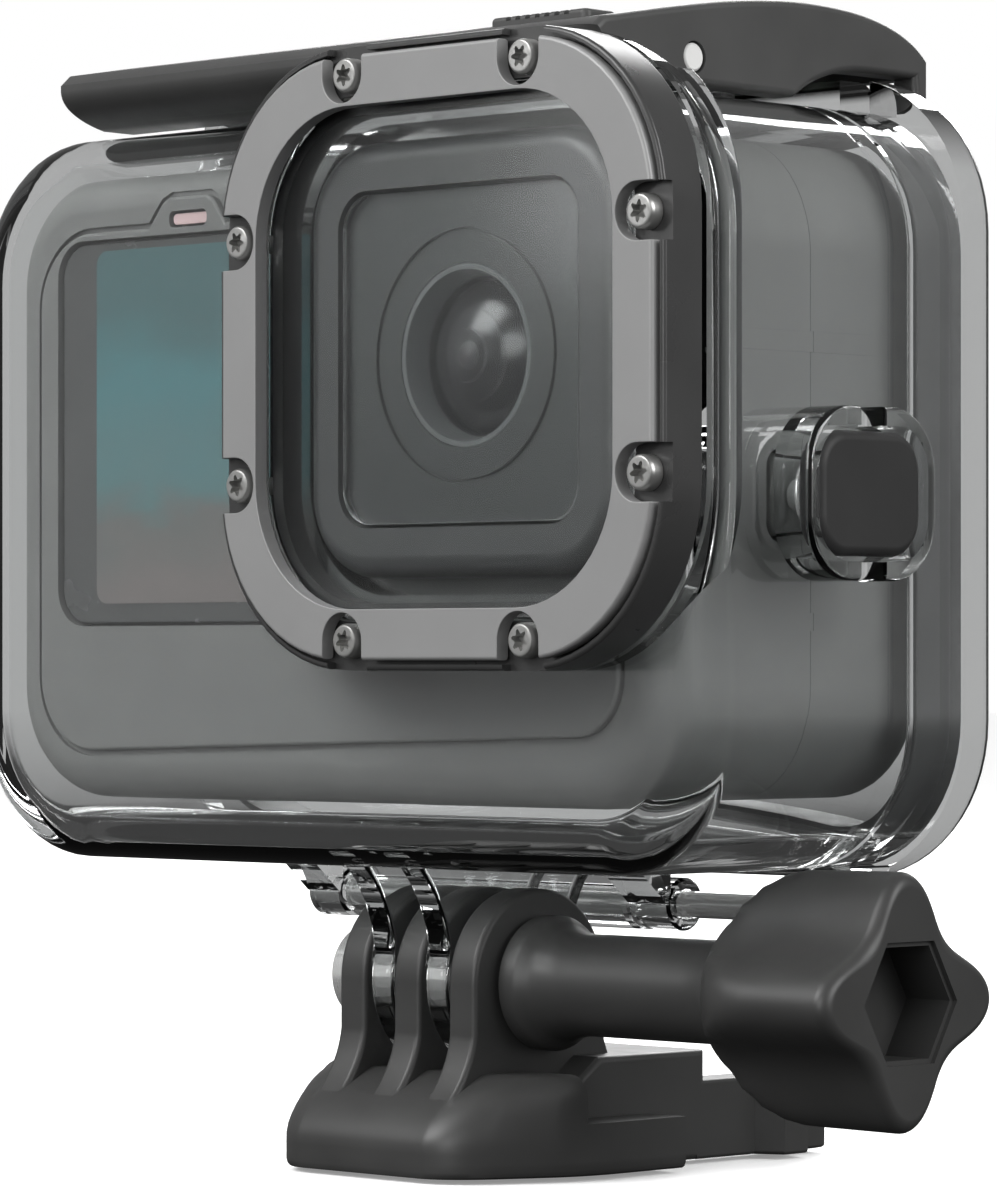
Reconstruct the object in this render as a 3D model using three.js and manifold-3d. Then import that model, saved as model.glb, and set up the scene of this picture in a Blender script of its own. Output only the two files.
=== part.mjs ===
// Action camera in a clear waterproof housing, on a folding-finger mount and a quick-release buckle.
// Millimetres, +Z up, +X to the right as seen from in front, and the lens looks along -Y.
// The origin is on the underside of the buckle, straight below the tilt axis and midway between the
// buckle's outer fingers. The housing and the camera are drawn in a frame of their own, whose origin is
// where the lens axis leaves the bezel's face.
import * as THREE from "three";
import { mergeVertices } from "three/addons/utils/BufferGeometryUtils.js";
import Module from "manifold-3d";

const wasm = await Module();
wasm.setup();

// ---------------------------------------------------------------- driving dimensions
const FIT = 0.3; // clearance kept between pieces that nearly touch
const TILT_HEIGHT = 14.4; // tilt axis above the buckle's underside
const LENS_AXIS = new THREE.Vector3(16.9, -21.3, 61.6);

const FINGER = { width: 2.9, pitch: 6.05, radius: 7.2, hole: 2.75 };
const BOLT_RADIUS = 2.4;
const KNOB = {
  back: 28.8,
  face: 45,
  radius: 9.5,
  waist: 6.9,
  stem: 3.9,
  boss: 5.2,
  socket: 8.2,
  socketDepth: 4.5,
  boreEnd: 33,
};

const BEZEL = { half: 22.45, corner: 12.8, open: 18.65, openCorner: 9.7, back: 1.2 };
const FRAME = { half: 23.2, corner: 13.5, open: 19.6, openCorner: 10.6, front: 0.55, back: 2.45 };
const SKIRT = { half: 21.6, corner: 12, back: 4.6 };
const SHIELD = { half: 17.35, corner: 8.35, inside: 16.75, insideCorner: 7.2, back: 8 };
const SCREW = { near: 9.2, far: 21, head: 1.3, shank: 0.7, pocket: 2.1, end: 5.2 };
const PORT = {
  front: 2.75,
  back: 8.8,
  seat: 19.7,
  seatCorner: 10.7,
  seatBack: 5,
  hole: 17.6,
  holeCorner: 8.6,
};

// Boxes with rounded corners: x and z limits of the outline, its corner radius, the y limits, and the
// size of the rounding along the front and back edges.
const SHELL = { x: [-59.8, 21.8], z: [-38.2, 19.3], corner: 11.4, y: [6.2, 34.3], edge: 3.4 };
const CAVITY = { x: [-57.8, 19.6], z: [-36, 17.6], corner: 9.6, y: [8.4, 36.5], edge: 2 };
const DOOR = { x: [-59.8, 21.8], z: [-39, 21.8], corner: 12, y: [34.6, 38.8], edge: 2 };
const CAMERA = { x: [-56.4, 16.6], z: [-33.4, 16.5], corner: 9, y: [8.8, 36], edge: 3.2 };
const CAMERA_SPACE = { x: [-54.6, 14.8], z: [-30.4, 14.7], corner: 7, y: [10.6, 34.2], edge: 1.5 };
const CAMERA_SPLIT = 22;

const HINGE = { y: 35.8, z: -41.6, pin: 1.05, knuckle: 2.1, x: [-49.4, 15.5] };
const SHELL_KNUCKLES = [[-49, -45], [-12, -7.6], [11, 15]];
const DOOR_KNUCKLES = [[-44.6, -12.4]];
const CLIP = { x: [-47.5, 12.1], cover: -23, plate: 2.2, bar: 12.6 };
const CLIP_PIN = { y: 15.6, z: 21.9, radius: 1.05 };
const ARM_PIN = { y: 25, z: 21.4, radius: 0.8 };
const ARM_LUGS = [[-17, -14], [3, 6]];

const SIDE_BUTTON = {
  y: 20.6,
  z: -10.35,
  guard: [14.1, 12.7, 4.6],
  well: [12, 9.9, 3.3],
  pad: [11.2, 9.1, 2.9],
};
const TOP_BUTTON = { x: -37.5, y: 21.5, guard: 7.2, well: 6.1, pad: 5.7 };

// ---------------------------------------------------------------- materials
function material(color, roughness, metalness = 0, extra = {}) {
  return new THREE.MeshStandardMaterial({ color, roughness, metalness, ...extra });
}

const CLEAR = { transparent: true, opacity: 0.25 };
const clearPlastic = () => material(0xd8dcdc, 0.05, 0, CLEAR);
const blackPlastic = () => material(0x3a3a39, 0.5);
const rubber = () => material(0x242424, 0.8);
const steel = () => material(0xc4c8c8, 0.2, 1);
const glass = () => material(0xb8c0c0, 0.02, 0, CLEAR);
const board = () => material(0x1f4a36, 0.6);

// ---------------------------------------------------------------- solids
// A closed solid from a geometry. Triangles with two equal corners, which a lathe leaves on its axis,
// are dropped.
function solid(geometry) {
  const bare = geometry.clone();
  bare.deleteAttribute("normal");
  bare.deleteAttribute("uv");
  const merged = mergeVertices(bare, 1e-4);
  const corners = [];
  for (let i = 0; i < merged.index.count; i += 3) {
    const [a, b, c] = [0, 1, 2].map((k) => merged.index.getX(i + k));
    if (a !== b && b !== c && c !== a) corners.push(a, b, c);
  }
  const vertProperties = new Float32Array(merged.attributes.position.array);
  return new wasm.Manifold(
    new wasm.Mesh({ numProp: 3, vertProperties, triVerts: new Uint32Array(corners) }),
  );
}

function geometryOf(body) {
  const mesh = body.getMesh();
  const geometry = new THREE.BufferGeometry();
  const position = new THREE.BufferAttribute(new Float32Array(mesh.vertProperties), 3);
  geometry.setAttribute("position", position);
  geometry.setIndex(new THREE.BufferAttribute(new Uint32Array(mesh.triVerts), 1));
  const flat = geometry.toNonIndexed();
  flat.computeVertexNormals();
  return flat;
}

const join = (...bodies) => bodies.reduce((whole, body) => whole.add(body));
const cut = (body, ...tools) => tools.reduce((rest, tool) => rest.subtract(tool), body);

// Extrusion directions: a shape's own x and y become Y and Z along X, and X and Z along Y.
const ALONG = {
  x: new THREE.Matrix4().makeBasis(axis(1), axis(2), axis(0)),
  y: new THREE.Matrix4().makeBasis(axis(0), axis(2), axis(1).negate()),
  z: new THREE.Matrix4(),
};

function axis(i) {
  return new THREE.Vector3().setComponent(i, 1);
}

// A shape extruded from one coordinate to another along X, Y or Z. bevel rounds both rims, inside the
// outline and inside the length.
function prism(shape, direction, from, to, { bevel = 0, rings = 2, steps = 3 } = {}) {
  const geometry = new THREE.ExtrudeGeometry(shape, {
    depth: to - from - 2 * bevel,
    curveSegments: steps,
    bevelEnabled: bevel > 0,
    bevelThickness: bevel,
    bevelSize: bevel,
    bevelOffset: -bevel,
    bevelSegments: rings,
  });
  geometry.translate(0, 0, bevel);
  geometry.applyMatrix4(ALONG[direction]);
  const start = direction === "y" ? to : from;
  geometry.translate(...axis("xyz".indexOf(direction)).multiplyScalar(start).toArray());
  return solid(geometry);
}

function box(x, y, z) {
  const geometry = new THREE.BoxGeometry(x[1] - x[0], y[1] - y[0], z[1] - z[0]);
  geometry.translate((x[0] + x[1]) / 2, (y[0] + y[1]) / 2, (z[0] + z[1]) / 2);
  return solid(geometry);
}

// A profile of [distance along the axis, radius] turned round a line parallel to X, Y or Z through at.
function turned(profile, direction, at = [0, 0, 0], segments = 24) {
  const points = profile.map(([along, radius]) => new THREE.Vector2(radius, along));
  const geometry = new THREE.LatheGeometry(points, segments);
  if (direction === "x") geometry.rotateZ(-Math.PI / 2);
  if (direction === "z") geometry.rotateX(Math.PI / 2);
  geometry.translate(...at);
  const body = solid(geometry);
  if (body.volume() > 0) return body;
  return solid(flipped(geometry));
}

function flipped(geometry) {
  const index = geometry.index.array;
  for (let i = 0; i < index.length; i += 3) [index[i], index[i + 1]] = [index[i + 1], index[i]];
  return geometry;
}

const rod = (direction, from, to, radius, at, segments = 20) =>
  turned([[from, 0], [from, radius], [to, radius], [to, 0]], direction, at, segments);

// A round tube: a rod with a hole through it.
const tube = (direction, from, to, outer, inner, at, segments = 24) =>
  cut(
    rod(direction, from, to, outer, at, segments),
    rod(direction, from - 1, to + 1, inner, at, segments),
  );

function roundedRect(x, y, radius) {
  const shape = new THREE.Shape();
  const [left, right] = x;
  const [low, high] = y;
  shape.absarc(right - radius, low + radius, radius, -Math.PI / 2, 0);
  shape.absarc(right - radius, high - radius, radius, 0, Math.PI / 2);
  shape.absarc(left + radius, high - radius, radius, Math.PI / 2, Math.PI);
  shape.absarc(left + radius, low + radius, radius, Math.PI, 1.5 * Math.PI);
  shape.closePath();
  return shape;
}

const centredRect = (halfX, halfY, radius, x = 0, y = 0) =>
  roundedRect([x - halfX, x + halfX], [y - halfY, y + halfY], radius);

const square = (half, radius) => centredRect(half, half, radius);

function polygon(points) {
  return new THREE.Shape(points.map(([x, y]) => new THREE.Vector2(x, y)));
}

// A rounded block from one of the boxes named at the top.
function block(limits, y = limits.y) {
  const outline = roundedRect(limits.x, limits.z, limits.corner);
  return prism(outline, "y", y[0], y[1], { bevel: limits.edge, steps: 4 });
}

function spring(radius, wire, length, turns) {
  const helix = new THREE.Curve();
  helix.getPoint = (t, target = new THREE.Vector3()) =>
    target.set(
      radius * Math.cos(2 * Math.PI * turns * t),
      radius * Math.sin(2 * Math.PI * turns * t),
      wire + (length - 2 * wire) * t,
    );
  const section = new THREE.Shape().absarc(0, 0, wire, 0, 2 * Math.PI);
  const steps = Math.round(10 * turns);
  return new THREE.ExtrudeGeometry(section, {
    steps,
    curveSegments: 3,
    extrudePath: helix,
    bevelEnabled: false,
  });
}

function ringTorus(radius, wire) {
  return new THREE.TorusGeometry(radius, wire, 6, 16);
}

// ---------------------------------------------------------------- scene
const camera = new THREE.Group();
const housing = new THREE.Group();
const mount = new THREE.Group();
const assembly = new THREE.Group();
housing.position.copy(LENS_AXIS);
housing.add(camera);
assembly.add(mount, housing);

function add(group, name, body, look, place = [0, 0, 0], turn = [0, 0, 0]) {
  const geometry = body.isBufferGeometry ? body : geometryOf(body);
  const mesh = new THREE.Mesh(geometry, look);
  mesh.name = name;
  mesh.position.set(...place);
  mesh.rotation.set(...turn);
  group.add(mesh);
}

// ---------------------------------------------------------------- buckle and thumbscrew
const BUCKLE = {
  nose: -12.2,
  noseHalf: 9.35,
  shoulder: -2.2,
  railEnd: 8.7,
  railHeight: 4,
  deckEnd: 15.5,
  tail: 30,
  half: 14.65,
  deck: 10.4,
  catch: 12.6,
};

function buckleFingers() {
  const centre = TILT_HEIGHT;
  const root = 5;
  const outline = new THREE.Shape();
  outline.moveTo(-10.4, root);
  outline.quadraticCurveTo(-7.6, 7.6, -FINGER.radius, 10.6);
  outline.lineTo(-FINGER.radius, centre);
  outline.absarc(0, centre, FINGER.radius, Math.PI, 0, true);
  outline.lineTo(FINGER.radius, 10);
  outline.quadraticCurveTo(8, 7, 11, root);
  outline.closePath();
  const fingers = [-1, 0, 1].map((i) => {
    const middle = i * FINGER.pitch;
    const half = FINGER.width / 2;
    return prism(outline, "x", middle - half, middle + half, { bevel: 0.4 });
  });
  const hole = rod("x", -20, 20, FINGER.hole, [0, 0, centre]);
  return cut(join(...fingers), hole);
}

// The foot seen from above: the nose, its shoulders, and the rails that run back from them.
function buckleFoot() {
  const { nose, noseHalf, shoulder, railEnd, railHeight, half } = BUCKLE;
  const plan = polygon([
    [-noseHalf, nose],
    [noseHalf, nose],
    [half, shoulder],
    [half, railEnd],
    [-half, railEnd],
    [-half, shoulder],
  ]);
  // Only the upper rims are rounded: the underside is flat right to its edges.
  const foot = prism(plan, "z", -1, 8.2, { bevel: 0.5 });
  const underneath = box([-20, 20], [-30, 30], [-5, 0]);
  // The nose slopes up to the fingers, and behind its shoulders only a low rail is left on each side.
  const slope = polygon([
    [-30, 3.6],
    [nose, 3.6],
    [-6.5, 7.65],
    [0.4, 7.65],
    [1.2, 12],
    [-30, 12],
  ]);
  const aboveRails = box([-20, 20], [shoulder + 0.4, 30], [railHeight, 12]);
  return cut(foot, underneath, prism(slope, "x", -20, 20), aboveRails);
}

function buckleProng(side) {
  const { deckEnd, tail, deck } = BUCKLE;
  const outline = [
    [6.8, deckEnd - 1],
    [6.8, tail - 1.2],
    [7.6, tail],
    [10, tail],
    [deck, tail - 1.4],
    [deck, 26],
    [BUCKLE.catch, 25.1],
    [BUCKLE.catch, 22.4],
    [deck, 21.2],
    [deck, deckEnd - 1],
  ];
  return prism(polygon(outline.map(([x, y]) => [side * x, y])), "z", 0, 6.2);
}

function buckleDeck() {
  const { deckEnd, deck } = BUCKLE;
  const profile = polygon([
    [-4, 0],
    [-4, 6.4],
    [0.8, 6.6],
    [3.6, 8.6],
    [deckEnd, 8.6],
    [deckEnd, 0],
  ]);
  return prism(profile, "x", -deck, deck, { bevel: 0.4 });
}

function buckle() {
  const centre = [0, 0, TILT_HEIGHT];
  const half = (FINGER.pitch - FINGER.width) / 2;
  const gaps = [-1, 1].map((side) => {
    const middle = (side * FINGER.pitch) / 2;
    return rod("x", middle - half, middle + half, FINGER.radius, centre, 32);
  });
  const nutSeat = rod("x", -16, -FINGER.pitch - FINGER.width / 2 + 0.9, 4.1, centre);
  const whole = join(buckleFoot(), buckleDeck(), buckleProng(-1), buckleProng(1), buckleFingers());
  return cut(whole, ...gaps, nutSeat);
}

function captiveNut() {
  const left = -12.7;
  const right = -FINGER.pitch - FINGER.width / 2 + 0.6;
  const outside = turned(
    [[left, 0], [left, 3.2], [left + 0.6, 3.8], [right, 3.8], [right, 0]],
    "x",
    [0, 0, TILT_HEIGHT],
    30,
  );
  return cut(outside, rod("x", left - 1, right + 1, BOLT_RADIUS + FIT, [0, 0, TILT_HEIGHT]));
}

function lobedOutline() {
  const mean = (KNOB.radius + KNOB.waist) / 2;
  const swing = (KNOB.radius - KNOB.waist) / 2;
  const count = 48;
  const points = [];
  for (let i = 0; i < count; i++) {
    const angle = (2 * Math.PI * i) / count;
    const radius = mean + swing * Math.cos(4 * angle) - 0.35 * (1 - Math.cos(8 * angle)) / 2;
    points.push([radius * Math.cos(angle), radius * Math.sin(angle)]);
  }
  return polygon(points);
}

function hexagon(acrossFlats) {
  const radius = acrossFlats / Math.sqrt(3);
  const points = [];
  for (let i = 0; i < 6; i++) {
    const angle = (i * Math.PI) / 3;
    points.push([radius * Math.cos(angle), radius * Math.sin(angle)]);
  }
  return polygon(points);
}

function thumbscrewKnob() {
  const { back, face, radius, stem, boss } = KNOB;
  const lobes = prism(lobedOutline(), "x", back, face, { bevel: 0.9 });
  const dome = turned(
    [
      [back, 0],
      [back, 4],
      [back + 1.2, 6.2],
      [back + 3.6, 8.4],
      [back + 6.4, radius],
      [face, radius],
      [face, 0],
    ],
    "x",
    [0, 0, 0],
    36,
  );
  const start = FINGER.pitch + FINGER.width / 2 + FIT;
  const shaft = turned(
    [
      [start, 0],
      [start, boss],
      [start + 1.8, boss],
      [start + 3, stem + 0.3],
      [start + 5, stem],
      [back + 2, stem],
      [back + 2, 0],
    ],
    "x",
    [0, 0, 0],
    28,
  );
  const socket = prism(hexagon(KNOB.socket), "x", face - KNOB.socketDepth, face + 1);
  const bore = rod("x", start - 1, KNOB.boreEnd, BOLT_RADIUS + FIT, [0, 0, 0]);
  return cut(join(lobes.intersect(dome), shaft), socket, bore);
}

function addMount() {
  add(mount, "buckle", buckle(), blackPlastic());
  add(mount, "captive_nut", captiveNut(), steel());
  const axisPlace = [0, 0, TILT_HEIGHT];
  add(mount, "thumbscrew_knob", thumbscrewKnob(), blackPlastic(), axisPlace);
  const bolt = rod("x", -12.2, KNOB.boreEnd - FIT, BOLT_RADIUS, [0, 0, 0], 24);
  add(mount, "thumbscrew_bolt", bolt, steel(), axisPlace);
}

// ---------------------------------------------------------------- bezel, port and their screws
function screwPlaces() {
  const { near, far } = SCREW;
  const places = [];
  for (const side of [1, -1]) {
    for (const end of [1, -1]) {
      places.push([side * near, end * far]);
      places.push([side * far, end * near]);
    }
  }
  return places;
}

// A U-shaped pocket round a screw, open towards the bezel's outer edge.
function screwPocket([x, z], from, to) {
  const outward = Math.abs(x) > Math.abs(z) ? Math.atan2(0, x) : Math.atan2(z, 0);
  const reach = 4;
  const pocket = new THREE.Shape();
  pocket.absarc(0, 0, SCREW.pocket, Math.PI / 2, 1.5 * Math.PI);
  pocket.lineTo(reach, -SCREW.pocket);
  pocket.lineTo(reach, SCREW.pocket);
  pocket.closePath();
  return prism(pocket, "y", from, to, { steps: 3 })
    .rotate([0, (-outward * 180) / Math.PI, 0])
    .translate([x, 0, z]);
}

function bezelRing() {
  const rim = { bevel: 0.3, rings: 1, steps: 4 };
  const plate = prism(square(BEZEL.half, BEZEL.corner), "y", 0, BEZEL.back, rim);
  const opening = prism(square(BEZEL.open, BEZEL.openCorner), "y", -1, 3, { steps: 4 });
  return cut(plate, opening, ...screwPlaces().map((place) => screwPocket(place, -1, 3)));
}

function bezelFrame() {
  const fine = { steps: 4 };
  const seatBack = BEZEL.back + 0.25;
  const plate = prism(square(FRAME.half, FRAME.corner), "y", FRAME.front, SKIRT.back, fine);
  const behind = prism(square(SKIRT.half, SKIRT.corner), "y", FRAME.back, 9, fine);
  const seat = prism(square(BEZEL.half + FIT, BEZEL.corner + FIT), "y", -1, seatBack, fine);
  const opening = prism(square(FRAME.open, FRAME.openCorner), "y", -1, 5, fine);
  const pockets = screwPlaces().map((place) => screwPocket(place, -1, seatBack));
  const holes = screwPlaces().map(([x, z]) => rod("y", 0, 5, SCREW.shank + 0.2, [x, 0, z], 8));
  return cut(plate, seat, behind, opening, ...pockets, ...holes);
}

function torxOutline() {
  const count = 12;
  const points = [];
  for (let i = 0; i < count; i++) {
    const angle = (2 * Math.PI * i) / count;
    const radius = 0.68 + 0.17 * Math.cos(6 * angle);
    points.push([radius * Math.cos(angle), radius * Math.sin(angle)]);
  }
  return polygon(points);
}

function bezelScrew() {
  const { head, shank } = SCREW;
  const under = BEZEL.back + 0.2;
  const body = turned(
    [
      [0.2, 0],
      [0.2, head - 0.25],
      [0.45, head],
      [under, head],
      [under, shank],
      [SCREW.end, shank],
      [SCREW.end, 0],
    ],
    "y",
    [0, 0, 0],
    10,
  );
  return cut(body, prism(torxOutline(), "y", -1, 0.9));
}

function portGlass() {
  const outline = square(FRAME.open - FIT, FRAME.openCorner - FIT);
  return prism(outline, "y", BEZEL.back + FIT, FRAME.back, { steps: 4 });
}

function portGasket() {
  const outline = square(PORT.seat - FIT, PORT.seatCorner - FIT);
  const outside = prism(outline, "y", FRAME.back + FIT, PORT.seatBack - FIT);
  const mouth = prism(square(18.2, 9.2), "y", 0, 3.7);
  const sleeve = prism(square(SHIELD.half, SHIELD.corner), "y", FRAME.back + FIT, SHIELD.back);
  const throat = prism(square(SHIELD.inside, SHIELD.insideCorner), "y", 0, 9);
  return cut(join(outside, sleeve), mouth, throat);
}

// ---------------------------------------------------------------- shell and rear door
function sideButtonFrame(half, from, to) {
  const [width, height, corner] = half;
  const { y, z } = SIDE_BUTTON;
  return prism(centredRect(width / 2, height / 2, corner, y, z), "x", from, to, { steps: 2 });
}

function shellFingers() {
  const y = -LENS_AXIS.y;
  const z = TILT_HEIGHT - LENS_AXIS.z;
  const outline = new THREE.Shape();
  outline.moveTo(y - 11, SHELL.z[0] + 1);
  outline.quadraticCurveTo(y - 7, z + 7, y - 6.6, z + 2);
  outline.absarc(y, z, 6.9, Math.PI - 0.3, 2 * Math.PI + 0.3, false);
  outline.quadraticCurveTo(y + 7, z + 7, y + 11, SHELL.z[0] + 1);
  outline.closePath();
  const half = 1.25;
  const fingers = [-1, 1].map((side) => {
    const middle = -LENS_AXIS.x + (side * FINGER.pitch) / 2;
    return prism(outline, "x", middle - half, middle + half, { bevel: 0.3 });
  });
  const hole = rod("x", -40, 10, FINGER.hole, [0, y, z]);
  return cut(join(...fingers), hole);
}

function knuckles(spans, webFrom, webTo, webTop) {
  const { y, z, knuckle, pin } = HINGE;
  const web = polygon([
    [webFrom, webTop],
    [y - knuckle, z],
    [y + 0.4, z - 0.2],
    [webTo, z + 0.4],
    [webTo, webTop],
  ]);
  const bore = rod("x", -60, 30, pin + 0.15, [0, y, z]);
  return spans.map(([left, right]) => {
    const barrel = rod("x", left, right, knuckle, [0, y, z]);
    return cut(join(barrel, prism(web, "x", left, right)), bore);
  });
}

function portBlock() {
  const tube = prism(square(FRAME.half, FRAME.corner), "y", PORT.front, PORT.back, { steps: 4 });
  const behindTop = polygon([
    [5, 30],
    [5, 23.2],
    [6.7, 20],
    [20, 20],
    [20, 30],
  ]);
  const core = prism(square(SKIRT.half - FIT, SKIRT.corner - FIT), "y", 0, 9, { steps: 4 });
  const rebate = cut(box([-30, 30], [0, SKIRT.back + FIT], [-30, 30]), core);
  return cut(tube, rebate, prism(behindTop, "x", -40, 40));
}

function armLugs() {
  const { y, z, radius } = ARM_PIN;
  const outer = 1.6;
  const bore = rod("x", -40, 40, radius + 0.12, [0, y, z], 12);
  return ARM_LUGS.map(([left, right]) => {
    const foot = box([left, right], [y - outer, y + outer], [SHELL.z[1] - 1, z]);
    return cut(join(rod("x", left, right, outer, [0, y, z]), foot), bore);
  });
}

function sideRibs() {
  return [[0, 1.5], [-20.3, -19]].map(([low, high]) =>
    box([CAMERA.x[1] + FIT, CAVITY.x[1] + 1], [CAVITY.y[0] - 0.1, 27], [low, high]),
  );
}

function shellOutside() {
  const { x, y, guard } = TOP_BUTTON;
  return join(
    block(SHELL, [SHELL.y[0], 60]),
    portBlock(),
    sideButtonFrame(SIDE_BUTTON.guard, 21, 25.2),
    rod("z", 18, 22.6, guard, [x, y, 0], 28),
    shellFingers(),
    ...armLugs(),
  );
}

function shellHollows() {
  const { x, y: topY, well } = TOP_BUTTON;
  const { y, z } = SIDE_BUTTON;
  return [
    box([-80, 60], [SHELL.y[1], 80], [-80, 60]),
    block(CAVITY, [CAVITY.y[0], 60]),
    prism(square(PORT.seat, PORT.seatCorner), "y", 0, PORT.seatBack, { steps: 4 }),
    prism(square(PORT.hole, PORT.holeCorner), "y", 0, CAVITY.y[0] + 3),
    sideButtonFrame(SIDE_BUTTON.well, 20.7, 30),
    box([22.4, 30], [y - 1.4, y + 1.4], [z - 10, z + 10]),
    rod("x", 15, 30, STEM_HOLE, [0, y, z]),
    rod("z", 18.6, 30, well, [x, topY, 0], 28),
    rod("z", 15, 30, STEM_HOLE, [x, topY, 0]),
  ];
}

function housingShell() {
  const screwHoles = screwPlaces().map(([x, z]) =>
    rod("y", 0, SCREW.end + FIT, SCREW.shank + 0.25, [x, 0, z], 8),
  );
  const hollow = cut(shellOutside(), ...shellHollows(), ...screwHoles);
  const hinge = knuckles(SHELL_KNUCKLES, 29.5, 34.1, SHELL.z[0] + 0.3);
  return join(hollow, ...sideRibs(), ...hinge);
}

function rearDoor() {
  const plate = block(DOOR, [DOOR.y[0] - 4, DOOR.y[1]]);
  const slots = [CLIP.x[1] - CLIP.plate / 2, CLIP.cover + CLIP.plate / 2].map((middle) => {
    const half = CLIP.plate / 2 + 0.4;
    return box([middle - half, middle + half], [30, 45], [19, 30]);
  });
  const door = cut(
    plate,
    box([-80, 60], [0, DOOR.y[0]], [-80, 60]),
    prism(roundedRect(CAVITY.x, CAVITY.z, CAVITY.corner), "y", 30, CAVITY.y[1]),
    ...slots,
  );
  return join(door, ...knuckles(DOOR_KNUCKLES, 34.9, 37.9, DOOR.z[0] + 0.4));
}

function doorSeal() {
  const inset = 0.35;
  const outline = (by) =>
    roundedRect(
      [CAVITY.x[0] + by, CAVITY.x[1] - by],
      [CAVITY.z[0] + by, CAVITY.z[1] - by],
      CAVITY.corner - by,
    );
  const outside = prism(outline(inset), "y", 30.9, CAVITY.y[1] - FIT);
  return cut(outside, prism(outline(inset + 0.55), "y", 20, 45));
}

function addHousing() {
  add(housing, "housing_shell", housingShell(), clearPlastic());
  add(housing, "rear_door", rearDoor(), clearPlastic());
  add(housing, "door_seal", doorSeal(), rubber());
  const pin = rod("x", HINGE.x[0], HINGE.x[1], HINGE.pin, [0, 0, 0]);
  add(housing, "door_hinge_pin", pin, steel(), [0, HINGE.y, HINGE.z]);
  add(housing, "bezel_ring", bezelRing(), material(0x929292, 0.35, 1));
  add(housing, "bezel_frame", bezelFrame(), blackPlastic());
  screwPlaces().forEach(([x, z], i) => {
    add(housing, `bezel_screw_${i + 1}`, bezelScrew(), material(0x8a8a8a, 0.35, 1), [x, 0, z]);
  });
  add(housing, "port_glass", portGlass(), glass());
  add(housing, "port_gasket", portGasket(), rubber());
}

// ---------------------------------------------------------------- latch
// The clip seen from its end: chin, top, back and the arch over the door's rim, in Y and Z.
function clipOutline() {
  const shape = new THREE.Shape();
  shape.moveTo(9.6, 20);
  shape.quadraticCurveTo(5.2, 21, 5.1, 22.9);
  shape.lineTo(5.1, 23.4);
  shape.lineTo(6, 24.2);
  shape.bezierCurveTo(13, 25.4, 21, 27, 28.3, 27);
  shape.bezierCurveTo(34, 27, 39.5, 26.2, 42, 23.6);
  shape.lineTo(42, 19.6);
  shape.lineTo(40.6, 19.6);
  shape.lineTo(40.4, 22.2);
  shape.lineTo(34.8, 22.2);
  shape.quadraticCurveTo(30, 22.2, 26.8, 19.8);
  shape.closePath();
  return shape;
}

// The space under the cover, between the clip's side plates.
function clipHollow() {
  const outline = polygon([
    [CLIP.bar, 10],
    [CLIP.bar, 23.6],
    [20, 24.9],
    [28, 25.4],
    [34, 25.2],
    [40.4, 23.3],
    [40.4, 22.2],
    [45, 22.2],
    [45, 10],
  ]);
  return prism(outline, "x", CLIP.cover + CLIP.plate, CLIP.x[1] - CLIP.plate);
}

// The room the front bar leaves for the port below it.
function clipPortRoom() {
  const depth = polygon([
    [0, 0],
    [12, 0],
    [12, 20.3],
    [7.2, 20.3],
    [5.45, 23.4],
    [5.45, 30],
    [0, 30],
  ]);
  const outline = square(FRAME.half + 0.45, FRAME.corner + 0.45);
  return prism(outline, "y", 0, 12).intersect(prism(depth, "x", -40, 40));
}

function latchClip() {
  const [left, right] = CLIP.x;
  const { y, z, radius } = CLIP_PIN;
  return cut(
    prism(clipOutline(), "x", left, right, { bevel: 0.5, steps: 4 }),
    box([left - 5, CLIP.cover], [CLIP.bar, 60], [10, 40]),
    clipHollow(),
    rod("x", left, 30, radius + 0.15, [0, y, z]),
    box([-4.4, 9.5], [6.8, 10.8], [22.7, 30]),
    clipPortRoom(),
  );
}

function latchArm() {
  const { y, z } = CLIP_PIN;
  const left = ARM_LUGS[0][1] + 0.4;
  const right = ARM_LUGS[1][0] - 0.4;
  const web = polygon([
    [y, z - 1.2],
    [ARM_PIN.y, ARM_PIN.z - 1.2],
    [ARM_PIN.y, ARM_PIN.z + 1.2],
    [y, z + 1.2],
  ]);
  return cut(
    join(
      rod("x", CLIP.cover + CLIP.plate + 0.4, CLIP.x[1] - CLIP.plate - 0.4, 1.75, [0, y, z]),
      rod("x", left, right, 1.6, [0, ARM_PIN.y, ARM_PIN.z]),
      prism(web, "x", left, right),
    ),
    rod("x", -60, 40, CLIP_PIN.radius + 0.15, [0, y, z]),
    rod("x", -60, 40, ARM_PIN.radius + 0.12, [0, ARM_PIN.y, ARM_PIN.z], 12),
  );
}

function addLatch() {
  add(housing, "latch_clip", latchClip(), blackPlastic());
  add(housing, "latch_arm", latchArm(), blackPlastic());
  const clipPin = rod("x", CLIP.cover + 0.1, CLIP.x[1] - 0.05, CLIP_PIN.radius, [0, 0, 0]);
  add(housing, "latch_pin", clipPin, steel(), [0, CLIP_PIN.y, CLIP_PIN.z]);
  const armPin = rod("x", ARM_LUGS[0][0], ARM_LUGS[1][1], ARM_PIN.radius, [0, 0, 0], 12);
  add(housing, "latch_arm_pin", armPin, steel(), [0, ARM_PIN.y, ARM_PIN.z]);
  const lock = prism(centredRect(5, 1.7, 0.6), "z", 0, 2.1, { bevel: 0.3 });
  add(housing, "latch_lock", lock, blackPlastic(), [4.2, 8.8, 23]);
}

// ---------------------------------------------------------------- housing buttons
const SPRING = { radius: 3.6, wire: 0.2, turns: 2.5 };
const STEM = 1.2;
const STEM_HOLE = 2.2;

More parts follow.
